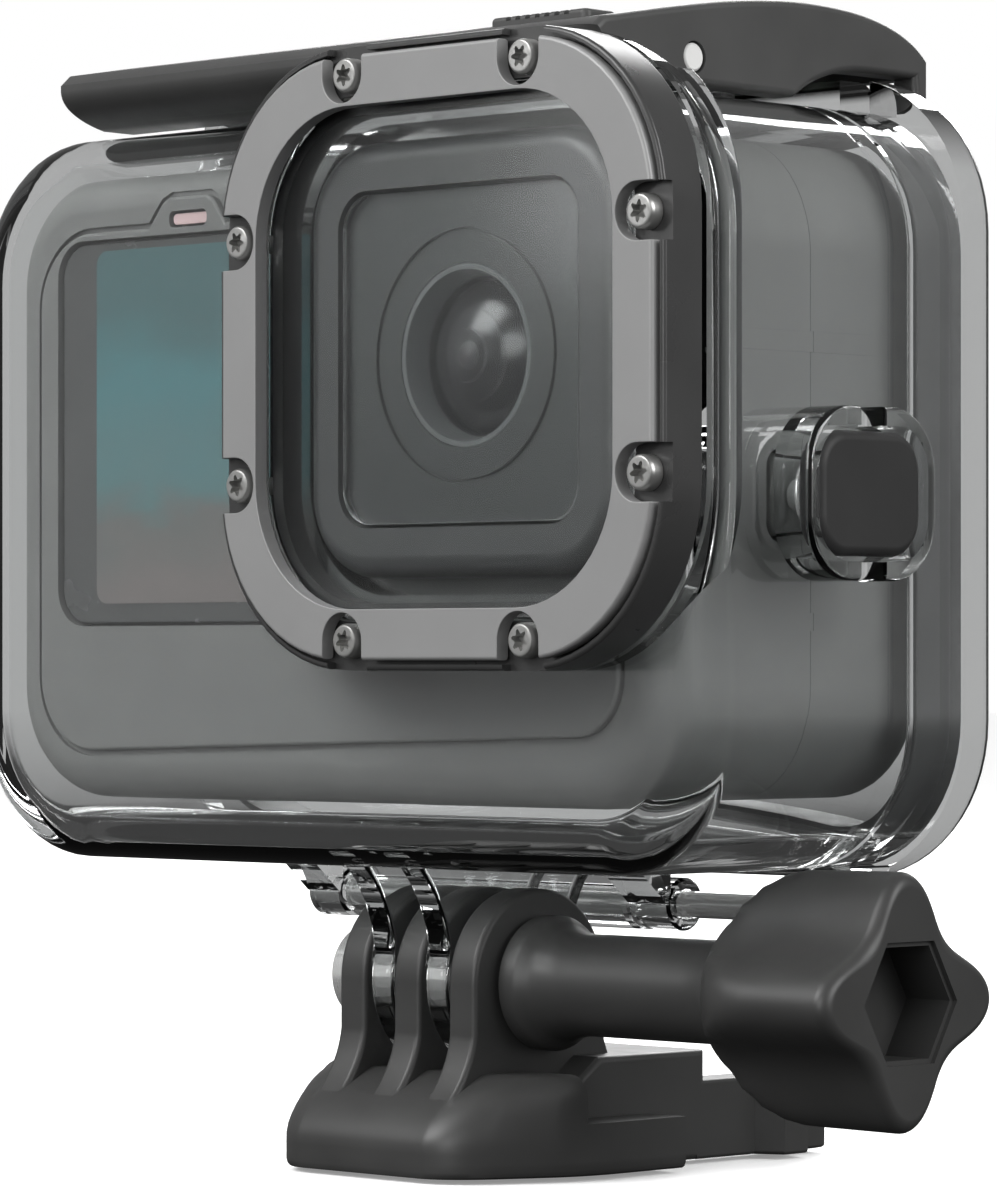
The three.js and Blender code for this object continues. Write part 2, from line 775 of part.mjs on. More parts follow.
function addHousingButtons() {
  const { y, z, pad } = SIDE_BUTTON;
  const outline = centredRect(pad[0] / 2, pad[1] / 2, pad[2]);
  const cap = prism(outline, "x", 23, 25, { bevel: 0.5, steps: 2 });
  add(housing, "side_button_cap", cap, rubber(), [0, y, z]);
  const sideStem = rod("x", CAMERA.x[1] + 0.75, 22.7, STEM, [0, 0, 0]);
  add(housing, "side_button_stem", sideStem, steel(), [0, y, z]);
  const sideCoil = spring(SPRING.radius, SPRING.wire, 1.9, SPRING.turns);
  add(housing, "side_button_spring", sideCoil, steel(), [20.8, y, z], [0, Math.PI / 2, 0]);
  add(housing, "side_button_o_ring", ringTorus(1.72, 0.35), rubber(), [20.1, y, z], [0, Math.PI / 2, 0]);

  const place = [TOP_BUTTON.x, TOP_BUTTON.y, 0];
  const disc = turned(
    [
      [20.6, 0],
      [20.6, TOP_BUTTON.pad],
      [22.2, TOP_BUTTON.pad],
      [22.6, TOP_BUTTON.pad - 0.5],
      [22.6, 0],
    ],
    "z",
    [0, 0, 0],
    28,
  );
  add(housing, "shutter_button_cap", disc, rubber(), place);
  const topStem = rod("z", CAMERA.z[1] + 0.55, 20.3, STEM, [0, 0, 0]);
  add(housing, "shutter_button_stem", topStem, steel(), place);
  const topCoil = spring(SPRING.radius, SPRING.wire, 1.6, SPRING.turns);
  add(housing, "shutter_button_spring", topCoil, steel(), [place[0], place[1], 18.7]);
  add(housing, "shutter_button_o_ring", ringTorus(1.72, 0.35), rubber(), [place[0], place[1], 18.1]);
}

// ---------------------------------------------------------------- camera
const FRONT_SCREEN = { x: [-50.1, -17.5], z: [-19.7, 11.1] };
const REAR_SCREEN = { x: [-50, 2], z: [-28, 12] };
const BATTERY_DOOR = { y: [13, 31], z: [-28, 4] };
const STOWED = { x: -19.9, half: 8, y: [11.5, 33], deep: 2 };

function cameraShell() {
  const door = box(
    [CAMERA.x[0] - 1, CAMERA_SPACE.x[0] + 1],
    BATTERY_DOOR.y,
    BATTERY_DOOR.z,
  );
  const well = box(
    [STOWED.x - STOWED.half, STOWED.x + STOWED.half],
    STOWED.y,
    [CAMERA.z[0] - 1, CAMERA.z[0] + STOWED.deep],
  );
  return cut(
    block(CAMERA),
    block(CAMERA_SPACE),
    door,
    well,
    prism(centredRect(3.4, 3.4, 1.4, SIDE_BUTTON.y, SIDE_BUTTON.z), "x", 10, 20),
    rod("z", 10, 20, 4.9, [TOP_BUTTON.x, TOP_BUTTON.y, 0], 28),
  );
}

function cameraFrontCover() {
  const half = cut(cameraShell(), box([-80, 60], [CAMERA_SPLIT, 80], [-80, 60]));
  const { x, z } = FRONT_SCREEN;
  const screenSeat = prism(roundedRect(x, z, 3), "y", 0, 10);
  const screenGap = box([x[0] + 5, x[1] - 5], [5, 12], [z[0] + 5, z[1] - 5]);
  const lensHole = rod("y", 0, 20, 10.9, [0, 0, 0], 32);
  const light = prism(roundedRect([-36.7, -32.3], [11.6, 12.9], 0.5), "y", 0, 9.8, { steps: 2 });
  return cut(half, screenSeat, screenGap, lensHole, light);
}

function cameraRearCover() {
  const half = cut(cameraShell(), box([-80, 60], [0, CAMERA_SPLIT + FIT], [-80, 60]));
  const { x, z } = REAR_SCREEN;
  const seat = prism(roundedRect(x, z, 3), "y", 34.8, 40);
  const gap = box([x[0] + 4, x[1] - 4], [30, 40], [z[0] + 4, z[1] - 4]);
  return cut(half, seat, gap);
}

function lensCoverFrame() {
  const back = CAMERA.y[0] - FIT;
  const front = 3.2;
  const outside = prism(square(16.3, 6.4), "y", front, 14, { bevel: 1.6, rings: 3, steps: 2 });
  const opening = prism(square(12.6, 3), "y", 0, 20, { steps: 2 });
  return cut(outside, box([-30, 30], [back, 30], [-30, 30]), opening);
}

function lensMask() {
  const plate = prism(square(12.3, 2.7), "y", 4.4, 6.4, { steps: 2 });
  const funnel = turned([[4, 0], [4, 6.9], [6.6, 6], [6.6, 0]], "y", [0, 0, 0], 28);
  const groove = tube("y", 4, 4.75, 9.6, 9, [0, 0, 0], 28);
  return cut(plate, funnel, groove);
}

function lensElement() {
  const sphere = 8.2;
  const rim = 5.7;
  const apex = 4.5;
  const profile = [[apex, 0]];
  const steps = 5;
  const edgeAngle = Math.asin(rim / sphere);
  for (let i = 1; i <= steps; i++) {
    const angle = (edgeAngle * i) / steps;
    profile.push([apex + sphere * (1 - Math.cos(angle)), sphere * Math.sin(angle)]);
  }
  profile.push([8.4, rim], [8.4, 0]);
  return turned(profile, "y", [0, 0, 0], 24);
}

function foldingFinger(side) {
  const middle = STOWED.x + side * 4;
  const [front, back] = STOWED.y;
  const low = CAMERA.z[0] + 0.15;
  const outline = roundedRect([middle - 3.4, middle + 3.4], [front + 0.4, back - 0.4], 3.3);
  const plate = prism(outline, "z", low, low + 1.5, { steps: 2 });
  return cut(plate, rod("z", low - 5, low + 5, 1.9, [middle, front + 4.2, 0], 16));
}

function screenPanel({ x, z }, from, to) {
  const gap = 0.25;
  return prism(roundedRect([x[0] + gap, x[1] - gap], [z[0] + gap, z[1] - gap], 2.75), "y", from, to);
}

function batteryDoor() {
  const { y, z } = BATTERY_DOOR;
  return box(
    [CAMERA.x[0] + 0.05, CAMERA_SPACE.x[0] + 0.2],
    [y[0] + FIT, y[1] - FIT],
    [z[0] + FIT, z[1] - FIT],
  );
}

function addCameraBody() {
  add(camera, "camera_front_cover", cameraFrontCover(), material(0x686868, 0.55));
  add(camera, "camera_rear_cover", cameraRearCover(), material(0x707070, 0.6));
  add(camera, "front_screen", screenPanel(FRONT_SCREEN, 8.85, 9.85), material(0x2f6b6e, 0.1));
  add(camera, "rear_screen", screenPanel(REAR_SCREEN, 35, 36.1), material(0x101214, 0.08));
  const light = prism(roundedRect([-36.5, -32.5], [11.8, 12.7], 0.4), "y", 8.9, 9.6, { steps: 2 });
  add(camera, "status_light", light, material(0xd9bdbd, 0.3));
  add(camera, "battery_door", batteryDoor(), material(0x6a6a6a, 0.6));
  const modeRim = { bevel: 0.3, rings: 1 };
  const modeCap = prism(centredRect(3.1, 3.1, 1.2), "x", 15.2, CAMERA.x[1] + 0.4, modeRim);
  add(camera, "camera_mode_button", modeCap, blackPlastic(), [0, SIDE_BUTTON.y, SIDE_BUTTON.z]);
  const shutterCap = rod("z", 15, CAMERA.z[1] + 0.2, 4.6, [0, 0, 0], 28);
  add(camera, "camera_shutter_button", shutterCap, blackPlastic(), [TOP_BUTTON.x, TOP_BUTTON.y, 0]);
  add(camera, "folding_finger_left", foldingFinger(-1), blackPlastic());
  add(camera, "folding_finger_right", foldingFinger(1), blackPlastic());
}

function addLens() {
  add(camera, "lens_cover_frame", lensCoverFrame(), material(0x4c4f4f, 0.4));
  const cover = prism(square(12.3, 2.7), "y", 3.35, 4.1, { steps: 2 });
  add(camera, "lens_cover_glass", cover, glass());
  add(camera, "lens_mask", lensMask(), material(0x4a4a4a, 0.45));
  add(camera, "lens_front_element", lensElement(), glass());
  const barrel = tube("y", 8.7, 19, 10.2, 6.2, [0, 0, 0], 28);
  add(camera, "lens_barrel", barrel, material(0x202020, 0.5));
  add(camera, "image_sensor_board", box([-10, 10], [19.4, 20.8], [-10, 10]), board());
}

function addCameraInside() {
  const width = [-50, 12];
  const height = [-26, 12];
  add(camera, "heat_sink", box(width, [22.6, 23.6], height), material(0xa0a0a0, 0.4, 1));
  add(camera, "main_board", box(width, [24.2, 25.6], height), board());
  add(camera, "battery", box([-50, -9], [26.2, 33.6], [-27, 2]), material(0x8c8f92, 0.5));
}

addMount();
addHousing();
addLatch();
addHousingButtons();
addCameraBody();
addLens();
addCameraInside();

export default assembly;
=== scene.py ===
"""Looks of an action camera in its clear waterproof housing, on a quick-release buckle.

Outlines are in millimetres. The housing and the camera are drawn in the lens frame, whose
origin is where the lens axis leaves the bezel's face. The knob is drawn from the tilt axis,
and the buckle in the frame of the CAD.
"""
from math import asin, atan2, comb, cos, pi, radians, sin, sqrt

import bmesh
import bpy
from mathutils import Matrix, Vector


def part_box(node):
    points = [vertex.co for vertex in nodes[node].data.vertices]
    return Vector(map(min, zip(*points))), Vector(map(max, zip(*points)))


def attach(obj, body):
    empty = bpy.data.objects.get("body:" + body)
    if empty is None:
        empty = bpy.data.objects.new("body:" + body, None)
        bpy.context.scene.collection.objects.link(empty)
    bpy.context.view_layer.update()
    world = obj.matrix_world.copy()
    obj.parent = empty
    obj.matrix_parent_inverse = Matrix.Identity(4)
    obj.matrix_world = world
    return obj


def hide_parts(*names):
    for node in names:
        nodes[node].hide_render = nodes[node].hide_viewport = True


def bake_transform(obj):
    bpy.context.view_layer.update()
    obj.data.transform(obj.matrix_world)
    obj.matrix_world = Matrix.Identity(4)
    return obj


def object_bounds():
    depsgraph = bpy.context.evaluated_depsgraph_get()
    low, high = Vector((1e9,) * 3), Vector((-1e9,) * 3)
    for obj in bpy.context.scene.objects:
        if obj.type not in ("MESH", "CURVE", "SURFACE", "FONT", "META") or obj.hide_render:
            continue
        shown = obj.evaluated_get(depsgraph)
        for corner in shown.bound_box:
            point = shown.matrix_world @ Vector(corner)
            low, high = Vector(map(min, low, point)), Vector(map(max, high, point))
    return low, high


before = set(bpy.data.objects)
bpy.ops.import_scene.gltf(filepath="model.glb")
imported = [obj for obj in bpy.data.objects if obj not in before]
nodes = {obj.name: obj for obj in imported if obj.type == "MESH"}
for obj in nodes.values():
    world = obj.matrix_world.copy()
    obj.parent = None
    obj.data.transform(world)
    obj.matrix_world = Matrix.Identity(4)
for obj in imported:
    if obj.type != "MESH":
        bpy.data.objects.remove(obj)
cad_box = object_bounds()

# ------------------------------ places taken from the frame
MM = 0.001


def corners_mm(node):
    low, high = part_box(node)
    return Vector(low) / MM, Vector(high) / MM


def lens_origin():
    low, high = corners_mm("bezel_ring")
    return Vector(((low.x + high.x) / 2, low.y, (low.z + high.z) / 2))


def axis_origin():
    low, high = corners_mm("thumbscrew_bolt")
    return Vector((0, (low.y + high.y) / 2, (low.z + high.z) / 2))


def in_lens_frame(node):
    low, high = corners_mm(node)
    return low - LENS, high - LENS


LENS = lens_origin()
AXIS = axis_origin()

# ------------------------------ driving dimensions
# "half" and "open" are half widths, and a pair is where a piece starts and ends on that axis.
FINGER = {"width": 2.9, "pitch": 6.05, "radius": 7.2, "hole": 2.75}
KNOB = {"back": 28.8, "face": 45, "radius": 9.5, "waist": 6.35, "stem": 3.9, "boss": 5.2,
        "socket": 8.2, "socket_depth": 4.5}
BOLT_RADIUS = 2.4

BEZEL = {"half": 22.45, "corner": 12.8, "open": 18.65, "open_corner": 9.7, "back": 1.2}
FRAME = {"half": 23.2, "corner": 13.5, "open": 19.6, "open_corner": 10.6, "front": 0.55, "back": 2.45}
SKIRT = {"half": 21.6, "corner": 12, "back": 4.6}
SCREW = {"near": 9.2, "far": 21, "head": 1.3, "shank": 0.7, "pocket": 2.1, "end": 5.2,
         "star": 0.66, "star_swing": 0.17}
PORT = {"front": 2.75, "back": 8.8, "seat": 19.7, "seat_corner": 10.7, "seat_back": 5,
        "hole": 17.6, "hole_corner": 8.6}
SHIELD = {"half": 17.35, "corner": 8.35, "back": 8}
SHIELD_STEPS = [(0, 18.2), (3.9, 17.7), (4.5, 17.2), (5.1, 16.75)]  # (start, half) of each step inside

SHELL = {"x": (-59.8, 21.8), "z": (-38.2, 19.3), "corner": 11.4, "y": (6.2, 34.3), "edge": 3.4}
FLANGE = 28.6  # where the shell's flange for the door begins
CAVITY = {"x": (-57.8, 19.6), "z": (-36, 17.6), "corner": 9.6, "y": (8.4, 36.5), "edge": 2}
DOOR = {"x": (-59.8, 21.8), "z": (-39, 21.8), "corner": 12, "y": (34.6, 38.8), "edge": 2}
CAMERA = {"x": (-56.4, 16.6), "z": (-33.4, 16.5), "corner": 9, "y": (8.8, 36), "edge": 3.2}
CAMERA_SPACE = {"x": (-54.6, 14.8), "z": (-30.4, 14.7), "corner": 7, "y": (10.6, 34.2), "edge": 1.5}
CAMERA_SPLIT = 22
BATTERY_HATCH = {"y": (13, 31), "z": (-28, 4)}
STOWED = {"x": -19.9, "half": 8, "y": (11.5, 33), "deep": 2}
PANEL = {"x": (-52.3, 10.6), "z": (-29.6, 11.7)}
LENS_COVER = {"front": 3.2, "half": 16.3, "corner": 6.4, "edge": 1.7, "open": 12.6, "open_corner": 3}
LENS_PANE = {"half": 12.3, "corner": 2.7}
LENS_MASK = {"y": (4.4, 6.4), "hole": 6.8, "groove": (9.45, 9.1)}
LENS_RIM = {"y": (4.45, 6.5), "radius": 6.75, "funnel": [(4, 6.45), (4.7, 6.3), (7, 5.85)]}
DOME = {"sphere": 7.4, "rim": 5.7, "apex": 4.3, "back": 8.4}

HINGE = {"y": 35.8, "z": -41.6, "pin": 1.05, "knuckle": 2.1}
SHELL_KNUCKLES = [(-49, -45), (-12, -7.6), (11, 15)]
DOOR_KNUCKLES = [(-44.6, -12.4)]
CLIP = {"x": (-47.5, 12.1), "cover": -23, "plate": 2.2, "bar": 12.6}
CLIP_PIN = {"y": 15.6, "z": 21.9, "radius": 1.05}
ARM_PIN = {"y": 25, "z": 21.4, "radius": 0.8}
ARM_LUGS = [(-17, -14), (3, 6)]

# The side button's outlines are (width, height, corner).
SIDE_BUTTON = {"y": 20.6, "z": -10.35, "guard": (14.1, 12.7, 4.6), "well": (12, 9.9, 3.3),
               "pad": (11.2, 9.1, 2.9)}
TOP_BUTTON = {"x": -37.5, "y": 21.5, "guard": 7.2, "well": 6.1, "pad": 5.7}
STEM = 1.2
STEM_HOLE = 2.2
O_RING = {"radius": 1.72, "wire": 0.35}
SPRING = {"radius": 3.6, "wire": 0.2, "turns": 2.5}
FRONT_SCREEN = {"x": (-50.1, -17.5), "z": (-19.7, 11.1)}
PICTURE = {"x": (-45.7, -19.2), "z": (-17.9, 10.2)}
REAR_SCREEN = {"x": (-50, 2), "z": (-28, 12)}


# ------------------------------ solids
# How an outline's u and v and the distance w along the extrusion become X, Y and Z.
ALONG = {
    "x": lambda u, v, w: (w, u, v),
    "y": lambda u, v, w: (u, w, v),
    "z": lambda u, v, w: (u, v, w),
}


def skin(rings, closed=False):
    """A body through rings of equally many points, capped at both ends or closed on itself."""
    count = len(rings[0])
    verts = [tuple(point) for ring in rings for point in ring]
    total = len(verts)
    faces = [] if closed else [list(range(count)), list(range(total - count, total))]
    for start in range(0, total if closed else total - count, count):
        for i in range(count):
            j = (i + 1) % count
            after = (start + count) % total
            faces.append((start + i, start + j, after + j, after + i))
    mesh = bpy.data.meshes.new("solid")
    mesh.from_pydata(verts, [], faces)
    shape = bmesh.new()
    shape.from_mesh(mesh)
    bmesh.ops.recalc_face_normals(shape, faces=shape.faces)
    shape.to_mesh(mesh)
    shape.free()
    body = bpy.data.objects.new("solid", mesh)
    return shown(body)


def shown(item):
    bpy.context.scene.collection.objects.link(item)
    return item


def inset(outline, distance):
    """An anticlockwise outline moved inwards."""
    moved = []
    for i, point in enumerate(outline):
        here = Vector(point)
        first = (here - Vector(outline[i - 1])).normalized()
        second = (Vector(outline[(i + 1) % len(outline)]) - here).normalized()
        inwards = Vector((-first.y - second.y, first.x + second.x)).normalized()
        across = max(inwards.dot(Vector((-first.y, first.x))), 0.3)
        moved.append(here + inwards * (distance / across))
    return moved


def anticlockwise(outline):
    area = sum(a[0] * b[1] - b[0] * a[1] for a, b in zip(outline, outline[1:] + outline[:1]))
    return outline if area > 0 else outline[::-1]


def prism(outline, direction, start, end, bevel=0, rings=5):
    """An outline extruded along X, Y or Z, with both rims rounded by bevel."""
    outline = anticlockwise([tuple(point) for point in outline])
    levels = [(0, 0)]
    if bevel:
        turns = [pi / 2 * k / rings for k in range(rings + 1)]
        levels = [(bevel * (1 - sin(t)), bevel * (1 - cos(t))) for t in turns]
    low = [(by, start + along) for by, along in levels]
    high = [(by, end - along) for by, along in reversed(levels)]
    to_xyz = ALONG[direction]
    return skin([[to_xyz(u, v, w) for u, v in inset(outline, by)] for by, w in low + high])


def box(x, y, z):
    return prism([(x[0], y[0]), (x[1], y[0]), (x[1], y[1]), (x[0], y[1])], "z", z[0], z[1])


def turned(profile, direction, at=(0, 0, 0), segments=96):
    """A profile of (distance along the axis, radius) turned round a line through at."""
    angles = [2 * pi * i / segments for i in range(segments)]
    offset = Vector(at)
    to_xyz = ALONG[direction]
    return skin([
        [Vector(to_xyz(radius * cos(t), radius * sin(t), along)) + offset for t in angles]
        for along, radius in profile
    ])


def rod(direction, start, end, radius, at=(0, 0, 0), segments=64):
    return turned([(start, radius), (end, radius)], direction, at, segments)


def pin(direction, start, end, radius, at=(0, 0, 0), chamfer=0.25):
    """A rod with chamfered ends."""
    thin = radius - chamfer
    profile = [(start, thin), (start + chamfer, radius), (end - chamfer, radius), (end, thin)]
    return turned(profile, direction, at, 64)


def combine(body, tool, operation):
    modifier = body.modifiers.new("combine", "BOOLEAN")
    modifier.operation = operation
    modifier.solver = "MANIFOLD"
    modifier.object = tool
    graph = bpy.context.evaluated_depsgraph_get()
    mesh = bpy.data.meshes.new_from_object(body.evaluated_get(graph))
    body.modifiers.clear()
    body.data = mesh
    bpy.data.objects.remove(tool)
    return body


def join(body, *others):
    for other in others:
        body = combine(body, other, "UNION")
    return body


def cut(body, *tools):
    for tool in tools:
        body = combine(body, tool, "DIFFERENCE")
    return body


def overlap(body, other):
    return combine(body, other, "INTERSECT")


def tube(direction, start, end, outer, inner):
    return cut(rod(direction, start, end, outer, segments=96),
               rod(direction, start - 1, end + 1, inner, segments=96))


def arc(centre, radius, start, end, steps=16):
    angles = [start + (end - start) * i / steps for i in range(steps + 1)]
    return [(centre[0] + radius * cos(t), centre[1] + radius * sin(t)) for t in angles]


def curve(*controls):
    """A Bezier curve of four steps for each control point, without its first point."""
    degree = len(controls) - 1
    steps = 4 * len(controls)
    points = []
    for i in range(1, steps + 1):
        t = i / steps
        weights = [comb(degree, k) * t ** k * (1 - t) ** (degree - k) for k in range(degree + 1)]
        points.append(tuple(sum(w * p[k] for w, p in zip(weights, controls)) for k in (0, 1)))
    return points


def rounded(x, y, radius, steps=14):
    return [
        *arc((x[1] - radius, y[0] + radius), radius, -pi / 2, 0, steps),
        *arc((x[1] - radius, y[1] - radius), radius, 0, pi / 2, steps),
        *arc((x[0] + radius, y[1] - radius), radius, pi / 2, pi, steps),
        *arc((x[0] + radius, y[0] + radius), radius, pi, 1.5 * pi, steps),
    ]


def centred(half_x, half_y, radius, x=0, y=0):
    return rounded((x - half_x, x + half_x), (y - half_y, y + half_y), radius)


def square(half, radius):
    return centred(half, half, radius)


def block(limits, y=None):
    """A rounded block from one of the boxes named at the top."""
    outline = rounded(limits["x"], limits["z"], limits["corner"])
    return prism(outline, "y", *(y or limits["y"]), limits["edge"], 8)


# ------------------------------ materials
def new_look(name):
    look = bpy.data.materials.new(name)
    look.use_nodes = True
    return look, look.node_tree, look.node_tree.nodes["Principled BSDF"]


def where(tree, kind):
    return tree.nodes.new("ShaderNodeTexCoord").outputs[kind]


def maths(tree, operation, *values, kind="ShaderNodeMath"):
    """A maths node, with its inputs linked, or set where a value is a number."""
    node = tree.nodes.new(kind)
    node.operation = operation
    for socket, value in zip(node.inputs, values):
        if isinstance(value, bpy.types.NodeSocket):
            tree.links.new(value, socket)
        else:
            socket.default_value = value
    return next(output for output in node.outputs if output.enabled)


def graded(tree, value, low, high, start=0, end=1):
    """Maps start..end to low..high."""
    node = tree.nodes.new("ShaderNodeMapRange")
    node.inputs["From Min"].default_value = start
    node.inputs["From Max"].default_value = end
    node.inputs["To Min"].default_value = low
    node.inputs["To Max"].default_value = high
    tree.links.new(value, node.inputs["Value"])
    return node.outputs["Result"]


def height_in(tree, coordinates):
    split = tree.nodes.new("ShaderNodeSeparateXYZ")
    tree.links.new(coordinates, split.inputs["Vector"])
    return split.outputs["Z"]


def noise(tree, scale, detail=4.0, stretch=(1, 1, 1)):
    mapping = tree.nodes.new("ShaderNodeMapping")
    mapping.inputs["Scale"].default_value = stretch
    texture = tree.nodes.new("ShaderNodeTexNoise")
    texture.inputs["Scale"].default_value = scale
    texture.inputs["Detail"].default_value = detail
    tree.links.new(where(tree, "Object"), mapping.inputs["Vector"])
    tree.links.new(mapping.outputs["Vector"], texture.inputs["Vector"])
    return texture.outputs["Fac"]


def spread(tree, value, low, high):
    """Maps a noise's middle range to low..high."""
    return graded(tree, value, low, high, 0.3, 0.7)


def tinted(tree, shader, color, amount, scale):
    """Base colour that wanders a little over the surface."""
    mix = tree.nodes.new("ShaderNodeMix")
    mix.data_type = "RGBA"
    mix.inputs["A"].default_value = (*[c * (1 - amount) for c in color], 1)
    mix.inputs["B"].default_value = (*[min(c * (1 + amount), 1) for c in color], 1)
    tree.links.new(spread(tree, noise(tree, scale), 0, 1), mix.inputs["Factor"])
    tree.links.new(mix.outputs["Result"], shader.inputs["Base Color"])


def grained(tree, shader, scale, height, stretch=(1, 1, 1)):
    bump = tree.nodes.new("ShaderNodeBump")
    bump.inputs["Strength"].default_value = 1
    bump.inputs["Distance"].default_value = height * MM
    tree.links.new(noise(tree, scale, 3.0, stretch), bump.inputs["Height"])
    tree.links.new(bump.outputs["Normal"], shader.inputs["Normal"])


def solid_look(name, color, roughness, metallic=0, amount=0.08, grain=(4000, 0.004),
               stretch=(1, 1, 1), specular=0.5):
    look, tree, shader = new_look(name)
    shader.inputs["Metallic"].default_value = metallic
    shader.inputs["Specular IOR Level"].default_value = specular
    tinted(tree, shader, color, amount, 180)
    worn = spread(tree, noise(tree, 260), roughness * 0.88, roughness * 1.12)
    tree.links.new(worn, shader.inputs["Roughness"])
    grained(tree, shader, *grain, stretch)
    return look


def clear_look(name, color, ior, roughness, ripple, coat=0):
    """Clear plastic or glass that lets lamps through to what is behind it."""
    look, tree, shader = new_look(name)
    shader.inputs["Transmission Weight"].default_value = 1
    shader.inputs["Base Color"].default_value = (*color, 1)
    shader.inputs["IOR"].default_value = ior
    shader.inputs["Roughness"].default_value = roughness
    shader.inputs["Coat Weight"].default_value = coat
    grained(tree, shader, 60, ripple)
    path = tree.nodes.new("ShaderNodeLightPath")
    open_way = tree.nodes.new("ShaderNodeBsdfTransparent")
    open_way.inputs["Color"].default_value = (*[c * 0.92 for c in color], 1)
    mix = tree.nodes.new("ShaderNodeMixShader")
    tree.links.new(path.outputs["Is Shadow Ray"], mix.inputs["Fac"])
    tree.links.new(shader.outputs["BSDF"], mix.inputs[1])
    tree.links.new(open_way.outputs["BSDF"], mix.inputs[2])
    tree.links.new(mix.outputs["Shader"], tree.nodes["Material Output"].inputs["Surface"])
    return look


def ramp(tree, value, stops):
    """The colour at a value, from (position, colour) stops."""
    node = tree.nodes.new("ShaderNodeValToRGB")
    elements = node.color_ramp.elements
    for element, (position, _) in zip(elements, (stops[0], stops[-1])):
        element.position = position
    for position, _ in stops[1:-1]:
        elements.new(position)
    for element, (_, color) in zip(elements, stops):
        element.color = (*color, 1)
    tree.links.new(value, node.inputs["Fac"])
    return node.outputs["Color"]


def picture_look():
    """An underwater scene without figures: teal water above pale sand, with soft light through it."""
    look, tree, shader = new_look("screen_picture")
    grain = noise(tree, 130, 5.0, (1, 1, 2))
    height = maths(tree, "MULTIPLY_ADD", grain, 0.35, height_in(tree, where(tree, "Generated")))
    sand, shallows, glow = (0.11, 0.1, 0.098), (0.085, 0.09, 0.088), (0.06, 0.12, 0.125)
    water, depth = (0.045, 0.125, 0.135), (0.04, 0.085, 0.09)
    color = ramp(tree, height, [(0.2, sand), (0.42, shallows), (0.52, glow), (0.8, water), (1, depth)])
    tree.links.new(color, shader.inputs["Base Color"])
    tree.links.new(color, shader.inputs["Emission Color"])
    shader.inputs["Emission Strength"].default_value = 0.05
    shader.inputs["Roughness"].default_value = 0.25
    return look


def lens_look():
    """Dark coated glass, with a painted round glint at its centre and painted faint rings that stand in
    for the elements behind it.
    """
    look, tree, shader = new_look("coated_lens")
    kind = "ShaderNodeVectorMath"
    middle = (LENS.x * MM, 0, LENS.z * MM)
    offset = maths(tree, "SUBTRACT", where(tree, "Object"), middle, kind=kind)
    # The distance from the axis, with 6 mm as 1.
    flat = maths(tree, "MULTIPLY", offset, (1000 / 6, 0, 1000 / 6), kind=kind)
    radius = maths(tree, "LENGTH", flat, kind=kind)
    # The lighter tones are painted light: the brightest near the middle is a painted glint, and the thin
    # lighter bands are painted rings for the elements behind the glass.
    glint_and_ring_tones = [(0.13, 0.02), (0.3, 0.012), (0.33, 0.022), (0.36, 0.01), (0.55, 0.012), (0.58, 0.02),
             (0.61, 0.007)]
    rings = [(position, (tone, tone * 0.95, tone)) for position, tone in glint_and_ring_tones]
    # The first stop, at the centre, is the brightest part of the painted glint.
    stops = [(0.1, (0.025, 0.022, 0.023)), *rings, (0.95, (0.006, 0.006, 0.007))]
    tree.links.new(ramp(tree, radius, stops), shader.inputs["Base Color"])
    shader.inputs["Roughness"].default_value = 0.2
    grained(tree, shader, 700, 0.00002)
    return look


